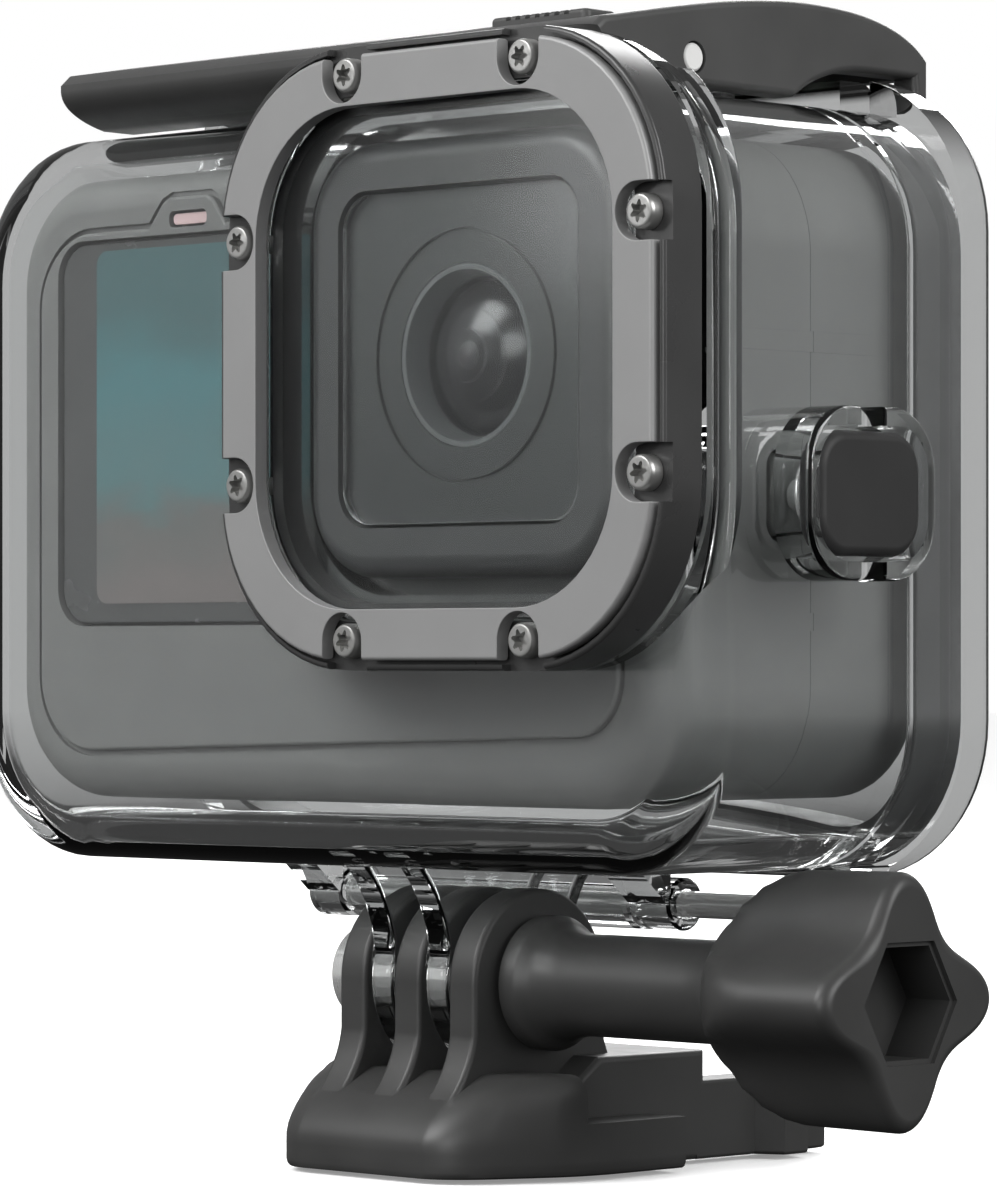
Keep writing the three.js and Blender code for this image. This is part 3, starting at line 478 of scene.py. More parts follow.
LOOKS = {
    "clear": clear_look("clear_polycarbonate", (0.965, 0.975, 0.975), 1.58, 0.0, 0.004),
    "door": clear_look("clear_door_plastic", (0.975, 0.985, 0.985), 1.2, 0.0, 0.004, 0.6),
    "glass": clear_look("optical_glass", (0.97, 0.985, 0.985), 1.26, 0.12, 0.0005),
    "lens": lens_look(),
    "satin": solid_look("satin_black_plastic", (0.031, 0.031, 0.0305), 0.42, grain=(5200, 0.0012)),
    "latch": solid_look("latch_plastic", (0.045, 0.045, 0.0445), 0.45, grain=(5200, 0.0012)),
    "frame": solid_look("black_frame_plastic", (0.035, 0.035, 0.035), 0.3, grain=(5200, 0.0006)),
    "rubber": solid_look("black_rubber", (0.022, 0.022, 0.022), 0.5, grain=(2600, 0.0012), specular=0.35),
    "seal": solid_look("seal_rubber", (0.03, 0.031, 0.031), 0.6, grain=(2600, 0.0015)),
    "steel": solid_look("bright_steel", (0.92, 0.92, 0.91), 0.18, 0.75, 0.03, (900, 0.002), (1, 12, 12)),
    "pin": solid_look("latch_pin_steel", (0.75, 0.75, 0.74), 0.35, 0.2, 0.03, (900, 0.002)),
    "screw": solid_look("screw_steel", (0.42, 0.42, 0.41), 0.34, 0.8, 0.05, (3000, 0.003)),
    "bezel": solid_look("anodised_bezel", (0.27, 0.27, 0.27), 0.5, 0.4, 0.02, (6500, 0.001)),
    "body": solid_look("camera_body", (0.1, 0.103, 0.1), 0.55, amount=0.04, grain=(5200, 0.00002)),
    "panel": solid_look("camera_panel", (0.1, 0.103, 0.1), 0.5, amount=0.04, grain=(5200, 0.00002)),
    "border": solid_look("screen_border", (0.045, 0.047, 0.047), 0.25, grain=(5200, 0.0001)),
    "dark_glass": solid_look("dark_screen", (0.008, 0.009, 0.01), 0.08, grain=(900, 0.0003)),
    "cover": solid_look("lens_cover_metal", (0.026, 0.027, 0.027), 0.4, amount=0.04,
                        grain=(5200, 0.00002)),
    "mask": solid_look("lens_mask", (0.012, 0.0125, 0.0125), 0.36, amount=0.04, grain=(5200, 0.00002)),
    "rim": solid_look("lens_rim_metal", (0.08, 0.082, 0.082), 0.38, 0.3, 0.03, (5200, 0.0001)),
    "barrel": solid_look("lens_barrel", (0.006, 0.006, 0.007), 0.4, grain=(4000, 0.002)),
    "light": solid_look("status_window", (0.46, 0.34, 0.34), 0.3, grain=(3000, 0.001)),
    "board": solid_look("circuit_board", (0.02, 0.1, 0.05), 0.5, amount=0.4, grain=(1400, 0.02)),
    "spreader": solid_look("heat_spreader", (0.55, 0.55, 0.55), 0.4, 1, 0.05, (1200, 0.004), (1, 20, 20)),
    "wrap": solid_look("battery_wrap", (0.3, 0.31, 0.32), 0.45, amount=0.05, grain=(1500, 0.004)),
}


# ------------------------------ placing pieces
def soften(body, width, segments, angle):
    """Rounds the edges that turn by more than an angle."""
    rim = body.modifiers.new("rims", "BEVEL")
    rim.width = width * MM
    rim.segments = segments
    rim.limit_method = "ANGLE"
    rim.angle_limit = radians(angle)


def place(name, body, look, node=None, rides="housing", origin=LENS, sharp=32, bevel=0):
    """Turns a body in millimetres into a finished piece, which takes a CAD node's place."""
    body.name = name
    mesh = body.data
    mesh.transform(Matrix.Translation(origin * MM) @ Matrix.Scale(MM, 4))
    mesh.materials.clear()
    mesh.materials.append(LOOKS[look])
    mesh.shade_smooth()
    mesh.set_sharp_from_angle(angle=radians(sharp))
    if bevel:
        soften(body, bevel, 3, 40)
    weigh = body.modifiers.new("normals", "WEIGHTED_NORMAL")
    weigh.keep_sharp = True
    if isinstance(rides, str):
        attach(body, rides)
    else:
        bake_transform(body)
    if node:
        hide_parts(node)
    return body


# ------------------------------ buckle and thumbscrew
BUCKLE = {"nose": -12.2, "nose_tip": 6.2, "nose_half": 9.35, "shoulder": -2.2, "half": 14.65,
          "height": 7.65, "edge": 0.5, "round": 1.8, "lean": 5.4, "lean_from": 2.4,
          "rail_end": 8.7, "rail_height": 4, "deck_end": 15.5, "tail": 30, "deck": 10.4, "catch": 12.6}


def finger_outline():
    centre = AXIS.z
    radius = FINGER["radius"]
    root = 5
    outline = [(-10.4, root)]
    outline += curve((-10.4, root), (-7.6, 7.6), (-radius, 10.6))
    outline += arc((0, centre), radius, pi, 0, 40)
    outline += [(radius, 10)]
    outline += curve((radius, 10), (8, 7), (11, root))
    return outline


def buckle_fingers():
    fingers = []
    half = FINGER["width"] / 2
    for i in (-1, 0, 1):
        middle = i * FINGER["pitch"]
        fingers.append(prism(finger_outline(), "x", middle - half, middle + half, 0.45))
    hole = rod("x", -20, 20, FINGER["hole"], (0, 0, AXIS.z))
    return cut(join(*fingers), hole)


def nose_plan():
    """The foot's outline from above: a narrow nose that widens softly to the rails."""
    nose, shoulder, half = BUCKLE["nose"], BUCKLE["shoulder"], BUCKLE["half"]
    corner = BUCKLE["nose_half"]
    flank = Vector((half - corner, shoulder - nose))
    low = Vector((corner, nose)) + flank * 0.36
    high = Vector((corner, nose)) + flank * 0.7
    points = curve((BUCKLE["nose_tip"], nose), (corner, nose), low)
    points += curve(high, (half, shoulder), (half, shoulder + 3.4))
    right = [point for i, point in enumerate(points)
             if i == 0 or (Vector(point) - Vector(points[i - 1])).length > 0.01]
    right.append((half, BUCKLE["rail_end"]))
    return right + [(-x, y) for x, y in reversed(right)]


def buckle_foot():
    """Level outlines: the sides are rounded at the top, and the nose leans back as it rises."""
    nose, shoulder, height = BUCKLE["nose"], BUCKLE["shoulder"], BUCKLE["height"]
    edge, round_off, lean_from = BUCKLE["edge"], BUCKLE["round"], BUCKLE["lean_from"]
    levels = [(0, 0.4), (0.15, 0.15), (edge, 0)]
    levels += [(edge + (height - round_off - edge) * k / 8, 0) for k in range(1, 9)]
    for k in range(1, 9):
        turn = pi / 2 * k / 8
        levels.append((height - round_off * (1 - sin(turn)), round_off * (1 - cos(turn))))
    rings = []
    for z, inwards in levels:
        back = BUCKLE["lean"] * max((z - lean_from) / (height - lean_from), 0) ** 1.7
        ring = []
        for x, y in nose_plan():
            share = min(max((shoulder - y) / (shoulder - nose), 0), 1)
            ring.append((x * (1 - inwards / BUCKLE["half"]), y + back * share + inwards * 0.3 * share, z))
        rings.append(ring)
    above_rails = box((-20, 20), (shoulder + 0.4, 30), (BUCKLE["rail_height"], 12))
    return cut(skin(rings), above_rails)


def buckle_prong(side):
    end, tail, deck, catch = BUCKLE["deck_end"], BUCKLE["tail"], BUCKLE["deck"], BUCKLE["catch"]
    outline = [
        (6.8, end - 1), (6.8, tail - 1.2), (7.6, tail), (10, tail), (deck, tail - 1.4),
        (deck, 26), (catch, 25.1), (catch, 22.4), (deck, 21.2), (deck, end - 1),
    ]
    return prism([(side * x, y) for x, y in outline], "z", 0, 6.2, 0.3)


def buckle_deck():
    end = BUCKLE["deck_end"]
    profile = [(-4, 0), (-4, 6.4), (0.8, 6.6), (3.6, 8.6), (end, 8.6), (end, 0)]
    return prism(profile, "x", -BUCKLE["deck"], BUCKLE["deck"], 0.5)


def add_buckle():
    whole = join(buckle_foot(), buckle_deck(), buckle_prong(-1), buckle_prong(1), buckle_fingers())
    half_gap = (FINGER["pitch"] - FINGER["width"]) / 2
    for side in (-1, 1):
        middle = side * FINGER["pitch"] / 2
        gap = rod("x", middle - half_gap, middle + half_gap, FINGER["radius"], (0, 0, AXIS.z), 96)
        whole = cut(whole, gap)
    nut_seat = rod("x", -16, -FINGER["pitch"] - FINGER["width"] / 2 + 0.9, 4.1, (0, 0, AXIS.z))
    whole = cut(whole, nut_seat)
    place("buckle_moulding", whole, "satin", "buckle", rides="buckle", origin=Vector())


def add_nut():
    low, high = corners_mm("captive_nut")
    radius = (high.z - low.z) / 2
    profile = [
        (low.x, radius - 0.9), (low.x + 0.25, radius - 0.6), (low.x + 0.7, radius - 0.1),
        (low.x + 1, radius), (high.x, radius),
    ]
    body = turned(profile, "x", (0, 0, AXIS.z), 96)
    body = cut(body, rod("x", low.x - 1, high.x + 1, BOLT_RADIUS + 0.3, (0, 0, AXIS.z)))
    place("steel_nut", body, "steel", "captive_nut", rides="buckle", origin=Vector())


def lobe_radius(angle):
    mean = (KNOB["radius"] + KNOB["waist"]) / 2
    swing = (KNOB["radius"] - KNOB["waist"]) / 2
    return mean + swing * cos(4 * angle) - 0.35 * (1 - cos(8 * angle)) / 2


def knob_grip():
    """Rings from the dome at the shaft to the face, each the smaller of the dome and the lobes."""
    back, face = KNOB["back"], KNOB["face"]
    dome = [(0, 4), (0.5, 5), (1.2, 6.2), (2.3, 7.4), (3.6, 8.4), (5, 9.1), (6.4, 9.5), (8, 9.6)]
    rim = 1.1
    soft = 0.25
    steps = 6
    levels = [(back + along, limit, 0) for along, limit in dome]
    for k in range(steps + 1):
        turn = pi / 2 * k / steps
        levels.append((face - rim + rim * sin(turn), KNOB["radius"] + 1, rim * (1 - cos(turn))))
    rings = []
    for along, limit, inwards in levels:
        ring = []
        for i in range(192):
            angle = 2 * pi * i / 192
            radius = lobe_radius(angle) - inwards
            # Where the dome and the lobes cross, the two run into each other softly.
            radius = -soft * softest(-radius / soft, -limit / soft)
            ring.append((along, radius * cos(angle), radius * sin(angle)))
        rings.append(ring)
    return skin(rings)


def softest(a, b):
    """A smooth maximum of two numbers."""
    high = max(a, b)
    return high + 0.5 * (sqrt((a - b) ** 2 + 1) - abs(a - b))


def hexagon(across_flats):
    radius = across_flats / sqrt(3)
    return [(radius * cos(i * pi / 3), radius * sin(i * pi / 3)) for i in range(6)]


def add_knob():
    back, face, stem, boss = KNOB["back"], KNOB["face"], KNOB["stem"], KNOB["boss"]
    start = FINGER["pitch"] + FINGER["width"] / 2 + 0.3
    profile = [
        (start, boss - 0.3), (start + 0.3, boss), (start + 1.5, boss), (start + 1.8, boss - 0.15),
        (start + 2.4, stem + 0.75), (start + 3, stem + 0.35), (start + 5, stem), (back - 3, stem),
        (back - 1, stem + 0.15), (back + 0.2, stem + 0.5), (back + 1, stem + 0.5),
    ]
    body = join(knob_grip(), turned(profile, "x"))
    socket = prism(hexagon(KNOB["socket"]), "x", face - KNOB["socket_depth"], face + 1)
    chamfer = prism(hexagon(KNOB["socket"] + 0.7), "x", face - 0.35, face + 1)
    bore = rod("x", start - 1, 33, BOLT_RADIUS + 0.3)
    body = cut(body, socket, chamfer, bore)
    place("knob", body, "satin", "thumbscrew_knob", rides="thumbscrew", origin=AXIS, sharp=35)


# ------------------------------ bezel, port and screws
def screw_places():
    near, far = SCREW["near"], SCREW["far"]
    places = []
    for side in (1, -1):
        for end in (1, -1):
            places.append((side * near, end * far))
            places.append((side * far, end * near))
    return places


def outward_angle(x, z):
    return atan2(0, x) if abs(x) > abs(z) else atan2(z, 0)


def screw_pocket(x, z, start, end, grow=0.0):
    """A U-shaped pocket round a screw, open towards the bezel's outer edge."""
    radius = SCREW["pocket"] + grow
    reach = 4
    turn = outward_angle(x, z)
    outline = arc((0, 0), radius, pi / 2, 1.5 * pi, 24) + [(reach, -radius), (reach, radius)]
    placed = [(x + u * cos(turn) - v * sin(turn), z + u * sin(turn) + v * cos(turn)) for u, v in outline]
    return prism(placed, "y", start, end)


def add_bezel():
    ring = prism(square(BEZEL["half"], BEZEL["corner"]), "y", 0, BEZEL["back"], 0.3, 4)
    ring = cut(ring, prism(square(BEZEL["open"], BEZEL["open_corner"]), "y", -1, 3))
    ring = cut(ring, *[screw_pocket(x, z, -1, 3) for x, z in screw_places()])
    place("bezel", ring, "bezel", "bezel_ring", bevel=0.12)

    seat_back = BEZEL["back"] + 0.25
    body = prism(square(FRAME["half"], FRAME["corner"]), "y", FRAME["front"], SKIRT["back"], 0.3, 3)
    body = cut(
        body,
        prism(square(BEZEL["half"] + 0.3, BEZEL["corner"] + 0.3), "y", -1, seat_back),
        prism(square(SKIRT["half"], SKIRT["corner"]), "y", FRAME["back"], 9),
        prism(square(FRAME["open"], FRAME["open_corner"]), "y", -1, 5),
        *[screw_pocket(x, z, -1, seat_back) for x, z in screw_places()],
    )
    place("bezel_backing", body, "frame", "bezel_frame")


def star(radius, swing):
    """A six-pointed outline."""
    angles = [2 * pi * i / 72 for i in range(72)]
    reach = [radius + swing * cos(6 * t) for t in angles]
    return [(far * cos(t), far * sin(t)) for far, t in zip(reach, angles)]


def add_screws():
    head, shank = SCREW["head"], SCREW["shank"]
    under = BEZEL["back"] + 0.2
    for i, (x, z) in enumerate(screw_places()):
        profile = [
            (0.2, head - 0.3), (0.26, head - 0.14), (0.42, head - 0.03), (0.6, head),
            (under, head), (under, shank), (SCREW["end"], shank),
        ]
        body = turned(profile, "y", segments=64)
        spin = 0.4 * i
        outline = star(SCREW["star"], SCREW["star_swing"])
        socket = [(u * cos(spin) - v * sin(spin), u * sin(spin) + v * cos(spin)) for u, v in outline]
        body = cut(body, prism(socket, "y", -1, 1))
        name = f"bezel_screw_{i + 1}"
        place(f"star_{name}", body, "screw", name, origin=LENS + Vector((x, 0, z)))


def add_port():
    outline = square(FRAME["open"] - 0.3, FRAME["open_corner"] - 0.3)
    pane = prism(outline, "y", BEZEL["back"] + 0.3, FRAME["back"], 0.2, 3)
    place("port_window", pane, "glass", "port_glass")

    front = FRAME["back"] + 0.3
    outline = square(PORT["seat"] - 0.3, PORT["seat_corner"] - 0.3)
    ring = prism(outline, "y", front, PORT["seat_back"] - 0.3, 0.15, 2)
    shield = prism(square(SHIELD["half"], SHIELD["corner"]), "y", front, SHIELD["back"], 0.15, 2)
    end = SHIELD["back"] + 1
    hollows = [prism(square(half, half - 9.5), "y", start, end) for start, half in SHIELD_STEPS]
    body = cut(join(ring, shield), *hollows)
    place("port_seal", body, "rubber", "port_gasket")


# ------------------------------ shell and rear door
def side_frame(size, start, end, bevel=0.0):
    width, height, corner = size
    outline = centred(width / 2, height / 2, corner, SIDE_BUTTON["y"], SIDE_BUTTON["z"])
    return prism(outline, "x", start, end, bevel)


def shell_fingers():
    y = AXIS.y - LENS.y
    z = AXIS.z - LENS.z
    top = SHELL["z"][0] + 1
    outline = [(y - 11, top)]
    outline += curve((y - 11, top), (y - 7, z + 7), (y - 6.6, z + 2))
    outline += arc((y, z), 6.9, pi - 0.3, 2 * pi + 0.3, 40)
    outline += curve(outline[-1], (y + 7, z + 7), (y + 11, top))
    fingers = []
    for side in (-1, 1):
        middle = side * FINGER["pitch"] / 2 - LENS.x
        fingers.append(prism(outline, "x", middle - 1.25, middle + 1.25, 0.35))
    return cut(join(*fingers), rod("x", -40, 10, FINGER["hole"], (0, y, z)))


def knuckle(left, right, web):
    y, z = HINGE["y"], HINGE["z"]
    barrel = pin("x", left, right, HINGE["knuckle"], (0, y, z))
    whole = join(barrel, prism(web, "x", left + 0.1, right - 0.1))
    return cut(whole, rod("x", left - 1, right + 1, HINGE["pin"] + 0.15, (0, y, z)))


def hinge_web(front, back, top):
    y, z = HINGE["y"], HINGE["z"]
    return [(front, top), (y - HINGE["knuckle"], z), (y + 0.4, z - 0.2), (back, z + 0.4), (back, top)]


def port_block():
    body = prism(square(FRAME["half"], FRAME["corner"]), "y", PORT["front"], PORT["back"], 0.3, 3)
    inside = prism(square(SKIRT["half"] - 0.3, SKIRT["corner"] - 0.3), "y", 0, 20)
    body = cut(body, cut(box((-30, 30), (0, SKIRT["back"] + 0.3), (-30, 30)), inside))
    behind_top = [(5, 30), (5, 23.2), (6.7, 20), (20, 20), (20, 30)]
    return cut(body, prism(behind_top, "x", -40, 40))


def arm_lugs():
    y, z = ARM_PIN["y"], ARM_PIN["z"]
    outer = 1.6
    lugs = []
    for left, right in ARM_LUGS:
        barrel = pin("x", left, right, outer, (0, y, z))
        foot = box((left, right), (y - outer, y + outer), (SHELL["z"][1] - 1, z))
        bore = rod("x", left - 1, right + 1, ARM_PIN["radius"] + 0.12, (0, y, z))
        lugs.append(cut(join(barrel, foot), bore))
    return lugs


def shell_hollows():
    x, top_y = TOP_BUTTON["x"], TOP_BUTTON["y"]
    y, z = SIDE_BUTTON["y"], SIDE_BUTTON["z"]
    return [
        box((-80, 60), (SHELL["y"][1], 80), (-80, 60)),
        block(CAVITY, (CAVITY["y"][0], 60)),
        prism(square(PORT["seat"], PORT["seat_corner"]), "y", 0, PORT["seat_back"]),
        prism(square(PORT["hole"], PORT["hole_corner"]), "y", 0, CAVITY["y"][0] + 3),
        side_frame(SIDE_BUTTON["well"], 20.7, 30),
        box((22.4, 30), (y - 1.4, y + 1.4), (z - 10, z + 10)),
        rod("x", 15, 30, STEM_HOLE, (0, y, z)),
        rod("z", 18.6, 30, TOP_BUTTON["well"], (x, top_y, 0)),
        rod("z", 15, 30, STEM_HOLE, (x, top_y, 0)),
    ]


def side_ribs():
    """Two low ribs along the side wall, each with a ramp at both ends."""
    inner, outer = CAVITY["x"][1] - 0.5, CAVITY["x"][1] + 0.5
    outline = [(outer, 9), (inner, 12), (inner, 25), (outer, 28)]
    return [prism(outline, "z", *z) for z in ((0, 1.5), (-20.3, -19))]


def flange_line():
    """The groove where the shell's flange for the door begins."""
    x, z = SHELL["x"], SHELL["z"]
    around = rounded((x[0] - 1, x[1] + 1), (z[0] - 1, z[1] + 1), SHELL["corner"] + 1)
    kept = rounded((x[0] + 0.35, x[1] - 0.35), (z[0] + 0.35, z[1] - 0.35), SHELL["corner"] - 0.35)
    band = prism(around, "y", FLANGE - 0.25, FLANGE + 0.25)
    return cut(band, prism(kept, "y", FLANGE - 1, FLANGE + 1))


def add_shell():
    x, y = TOP_BUTTON["x"], TOP_BUTTON["y"]
    guard = TOP_BUTTON["guard"]
    top_guard = turned([(18, guard), (22.2, guard), (22.6, guard - 0.4)], "z", (x, y, 0))
    shell = join(
        block(SHELL, (SHELL["y"][0], 60)),
        port_block(),
        side_frame(SIDE_BUTTON["guard"], 20, 25.2, 0.5),
        top_guard,
        shell_fingers(),
        *arm_lugs(),
    )
    shell = cut(shell, flange_line(), *shell_hollows())
    web = hinge_web(29.5, 34.1, SHELL["z"][0] + 0.3)
    shell = join(shell, *side_ribs(), *[knuckle(left, right, web) for left, right in SHELL_KNUCKLES])
    place("clear_shell", shell, "clear", "housing_shell", sharp=30)


def add_door():
    door = block(DOOR, (DOOR["y"][0] - 4, DOOR["y"][1]))
    slots = []
    for middle in (CLIP["x"][1] - CLIP["plate"] / 2, CLIP["cover"] + CLIP["plate"] / 2):
        half = CLIP["plate"] / 2 + 0.4
        slots.append(box((middle - half, middle + half), (30, 45), (19, 30)))
    door = cut(
        door,
        box((-80, 60), (0, DOOR["y"][0]), (-80, 60)),
        prism(rounded(CAVITY["x"], CAVITY["z"], CAVITY["corner"]), "y", 30, CAVITY["y"][1]),
        *slots,
    )
    web = hinge_web(34.9, 37.9, DOOR["z"][0] + 0.4)
    door = join(door, *[knuckle(left, right, web) for left, right in DOOR_KNUCKLES])
    place("clear_door", door, "door", "rear_door", rides="rear_door", sharp=30)


def add_seal():
    def outline(by):
        x, z = CAVITY["x"], CAVITY["z"]
        return rounded((x[0] + by, x[1] - by), (z[0] + by, z[1] - by), CAVITY["corner"] - by)

    ring = prism(outline(0.35), "y", 30.9, CAVITY["y"][1] - 0.3, 0.2, 3)
    ring = cut(ring, prism(outline(0.9), "y", 20, 45))
    place("seal_ring", ring, "seal", "door_seal", rides="rear_door")


def add_pin(name, node, line, radius, look, rides, chamfer):
    """A steel pin along X, as long as its CAD node."""
    low, high = in_lens_frame(node)
    body = pin("x", low.x, high.x, radius, (0, line["y"], line["z"]), chamfer)
    place(name, body, look, node, rides=rides)


# ------------------------------ latch
def clip_outline():
    outline = [(9.6, 20)]
    outline += curve((9.6, 20), (5.2, 21), (5.1, 22.9))
    outline += [(5.1, 23.4), (6, 24.2)]
    outline += curve((6, 24.2), (13, 25.4), (21, 27), (28.3, 27))
    outline += curve((28.3, 27), (34, 27), (39.5, 26.2), (42, 23.6))
    outline += [(42, 19.6), (40.6, 19.6), (40.4, 22.2), (34.8, 22.2)]
    outline += curve((34.8, 22.2), (30, 22.2), (26.8, 19.8))
    return outline


def clip_port_room():
    depth = [(0, 0), (12, 0), (12, 20.3), (7.2, 20.3), (5.45, 23.4), (5.45, 30), (0, 30)]
    outline = square(FRAME["half"] + 0.45, FRAME["corner"] + 0.45)
    return overlap(prism(outline, "y", 0, 12), prism(depth, "x", -40, 40))


def add_clip():
    left, right = CLIP["x"]
    plate = CLIP["plate"]
    hollow = [
        (CLIP["bar"], 10), (CLIP["bar"], 23.6), (20, 24.9), (28, 25.4), (34, 25.2), (40.4, 23.3),
        (40.4, 22.2), (45, 22.2), (45, 10),
    ]
    body = cut(
        prism(clip_outline(), "x", left, right, 0.55),
        box((left - 5, CLIP["cover"]), (CLIP["bar"], 60), (10, 40)),
        prism(hollow, "x", CLIP["cover"] + plate, right - plate),
        rod("x", left, 30, CLIP_PIN["radius"] + 0.15, (0, CLIP_PIN["y"], CLIP_PIN["z"])),
        box((-4.4, 9.5), (6.8, 10.8), (22.7, 30)),
        clip_port_room(),
    )
    place("latch_cover", body, "latch", "latch_clip", rides="latch_clip")


def add_arm():
    y, z = CLIP_PIN["y"], CLIP_PIN["z"]
    left = ARM_LUGS[0][1] + 0.4
    right = ARM_LUGS[1][0] - 0.4
    far_y, far_z, half = ARM_PIN["y"], ARM_PIN["z"], 1.2
    web = [(y, z - half), (far_y, far_z - half), (far_y, far_z + half), (y, z + half)]
    wide = (CLIP["cover"] + CLIP["plate"] + 0.4, CLIP["x"][1] - CLIP["plate"] - 0.4)
    body = join(
        pin("x", *wide, 1.75, (0, y, z)),
        pin("x", left, right, 1.6, (0, far_y, far_z)),
        prism(web, "x", left, right),
    )
    body = cut(
        body,
        rod("x", -60, 40, CLIP_PIN["radius"] + 0.15, (0, y, z)),
        rod("x", -60, 40, ARM_PIN["radius"] + 0.12, (0, far_y, far_z)),
    )
    place("latch_link", body, "latch", "latch_arm", rides="latch_arm")


def add_lock():
    low, high = in_lens_frame("latch_lock")
    outline = rounded((low.x, high.x), (low.y, high.y), 0.6)
    body = prism(outline, "z", low.z, high.z, 0.35)
    middle = (low.x + high.x) / 2
    for i in range(-3, 4):
        x = middle + i
        groove = box((x - 0.25, x + 0.25), (low.y - 1, high.y + 1), (high.z - 0.35, high.z + 1))
        body = cut(body, groove)
    place("lock_slider", body, "latch", "latch_lock", rides="latch_lock")


# ------------------------------ housing buttons
def wire_ring(direction, at, angle, along, radius, wire):
    """The wire's outline where it stands at an angle round the axis."""
    ring = []
    for k in range(12):
        turn = 2 * pi * k / 12
        reach = radius + wire * cos(turn)
        point = ALONG[direction](reach * cos(angle), reach * sin(angle), along + wire * sin(turn))
        ring.append(Vector(point) + Vector(at))
    return ring


def coil(direction, start, length, at):
    radius, wire, turns = SPRING["radius"], SPRING["wire"], SPRING["turns"]
    steps = int(48 * turns)
    rings = []
    for i in range(steps + 1):
        along = start + wire + (length - 2 * wire) * i / steps
        rings.append(wire_ring(direction, at, 2 * pi * turns * i / steps, along, radius, wire))
    return skin(rings)


def o_ring(direction, along, at):
    size = (O_RING["radius"], O_RING["wire"])
    rings = [wire_ring(direction, at, 2 * pi * i / 48, along, *size) for i in range(48)]
    return skin(rings, closed=True)


def sprung(button, direction, start, length, at):
    """What a spring rides on: the housing at its start, and the button at its end."""
    to_xyz = ALONG[direction]
    ends = [Vector(to_xyz(0, 0, along)) + Vector(at) for along in (start, start + length)]
    first, last = [(LENS + end) * MM for end in ends]
    return ("housing", button, first, last)


def add_sprung_stem(word, direction, at, stem, spring, seal):
    """A housing button's stem, its spring and the ring that seals it."""
    button = f"{word}_button"
    rod_body = pin(direction, *stem, STEM, at)
    place(f"{word}_stem", rod_body, "steel", f"{button}_stem", rides=button)
    rides = sprung(button, direction, *spring, at)
    wire = coil(direction, *spring, at)
    place(f"{word}_coil", wire, "steel", f"{button}_spring", rides=rides)
    ring = o_ring(direction, seal, at)
    place(f"{word}_o_ring", ring, "rubber", f"{button}_o_ring")


def add_side_button():
    cap = side_frame(SIDE_BUTTON["pad"], 23, 25, 0.75)
    place("side_pad", cap, "rubber", "side_button_cap", rides="side_button", sharp=50)
    stem = (CAMERA["x"][1] + 0.75, 22.7)
    add_sprung_stem("side", "x", (0, SIDE_BUTTON["y"], SIDE_BUTTON["z"]), stem, (20.8, 1.9), 20.1)


def add_shutter_button():
    at = (TOP_BUTTON["x"], TOP_BUTTON["y"], 0)
    pad = TOP_BUTTON["pad"]
    rim = [(22, pad), (22.35, pad - 0.12), (22.52, pad - 0.35), (22.6, pad - 0.7)]
    cap = turned([(20.6, pad), *rim, (22.45, 2.5)], "z", at)
    place("shutter_pad", cap, "rubber", "shutter_button_cap", rides="shutter_button")
    add_sprung_stem("shutter", "z", at, (CAMERA["z"][1] + 0.55, 20.3), (18.7, 1.6), 18.1)


# ------------------------------ camera
def camera_half(keep):
    wall = (CAMERA["x"][0] - 1, CAMERA_SPACE["x"][0] + 1)
    door = box(wall, BATTERY_HATCH["y"], BATTERY_HATCH["z"])
    half, middle = STOWED["half"], STOWED["x"]
    low = CAMERA["z"][0]
    well = box((middle - half, middle + half), STOWED["y"], (low - 1, low + STOWED["deep"]))
    body = overlap(block(CAMERA), keep)
    mode_hole = prism(centred(3.4, 3.4, 1.4, SIDE_BUTTON["y"], SIDE_BUTTON["z"]), "x", 10, 20)
    shutter_hole = rod("z", 10, 20, 4.9, (TOP_BUTTON["x"], TOP_BUTTON["y"], 0))
    return cut(body, block(CAMERA_SPACE), door, well, mode_hole, shutter_hole)


def front_panel_outline():
    """The panel's outline, with the raised part round the status light."""
    left, right = PANEL["x"]
    low, high = PANEL["z"]
    bump = high + 2.3
    radius = 6
    outline = arc((right - 3, low + radius), radius - 1.5, -pi / 2, 0, 12)
    outline += [(right + 1.5, high - 3), (right - 1, high)]
    outline += [(-30.2, high), (-31.6, bump - 0.4), (-32.4, bump)]
    outline += [(-36.8, bump), (-37.6, bump - 0.4), (-39.2, high)]
    outline += arc((left + radius, high - radius), radius, pi / 2, pi, 12)
    outline += arc((left + radius, low + radius), radius, pi, 1.5 * pi, 12)
    return outline


def add_front_cover():
    y = CAMERA["y"][0]
    body = camera_half(box((-80, 60), (0, CAMERA_SPLIT), (-80, 60)))
    outline = front_panel_outline()
    trench = cut(prism(inset(outline, -0.45), "y", y - 1, y + 0.4), prism(outline, "y", y - 2, y + 2))
    panel = prism(outline, "y", y - 0.3, y + 1, 0.28, 4)
    body = join(cut(body, trench), panel)
    x, z = FRONT_SCREEN["x"], FRONT_SCREEN["z"]
    body = cut(
        body,
        prism(rounded(x, z, 3), "y", 0, 10),
        box((x[0] + 5, x[1] - 5), (5, 12), (z[0] + 5, z[1] - 5)),
        rod("y", 0, 20, 10.9),
        prism(rounded((-36.7, -32.3), (11.6, 12.9), 0.5), "y", 0, 9.8),
    )
    place("front_cover", body, "body", "camera_front_cover", sharp=28)


def add_rear_cover():
    body = camera_half(box((-80, 60), (CAMERA_SPLIT + 0.05, 80), (-80, 60)))
    x, z = REAR_SCREEN["x"], REAR_SCREEN["z"]
    body = cut(
        body,
        prism(rounded(x, z, 3), "y", 34.8, 40),
        box((x[0] + 4, x[1] - 4), (30, 40), (z[0] + 4, z[1] - 4)),
    )
    place("rear_cover", body, "body", "camera_rear_cover", sharp=28)


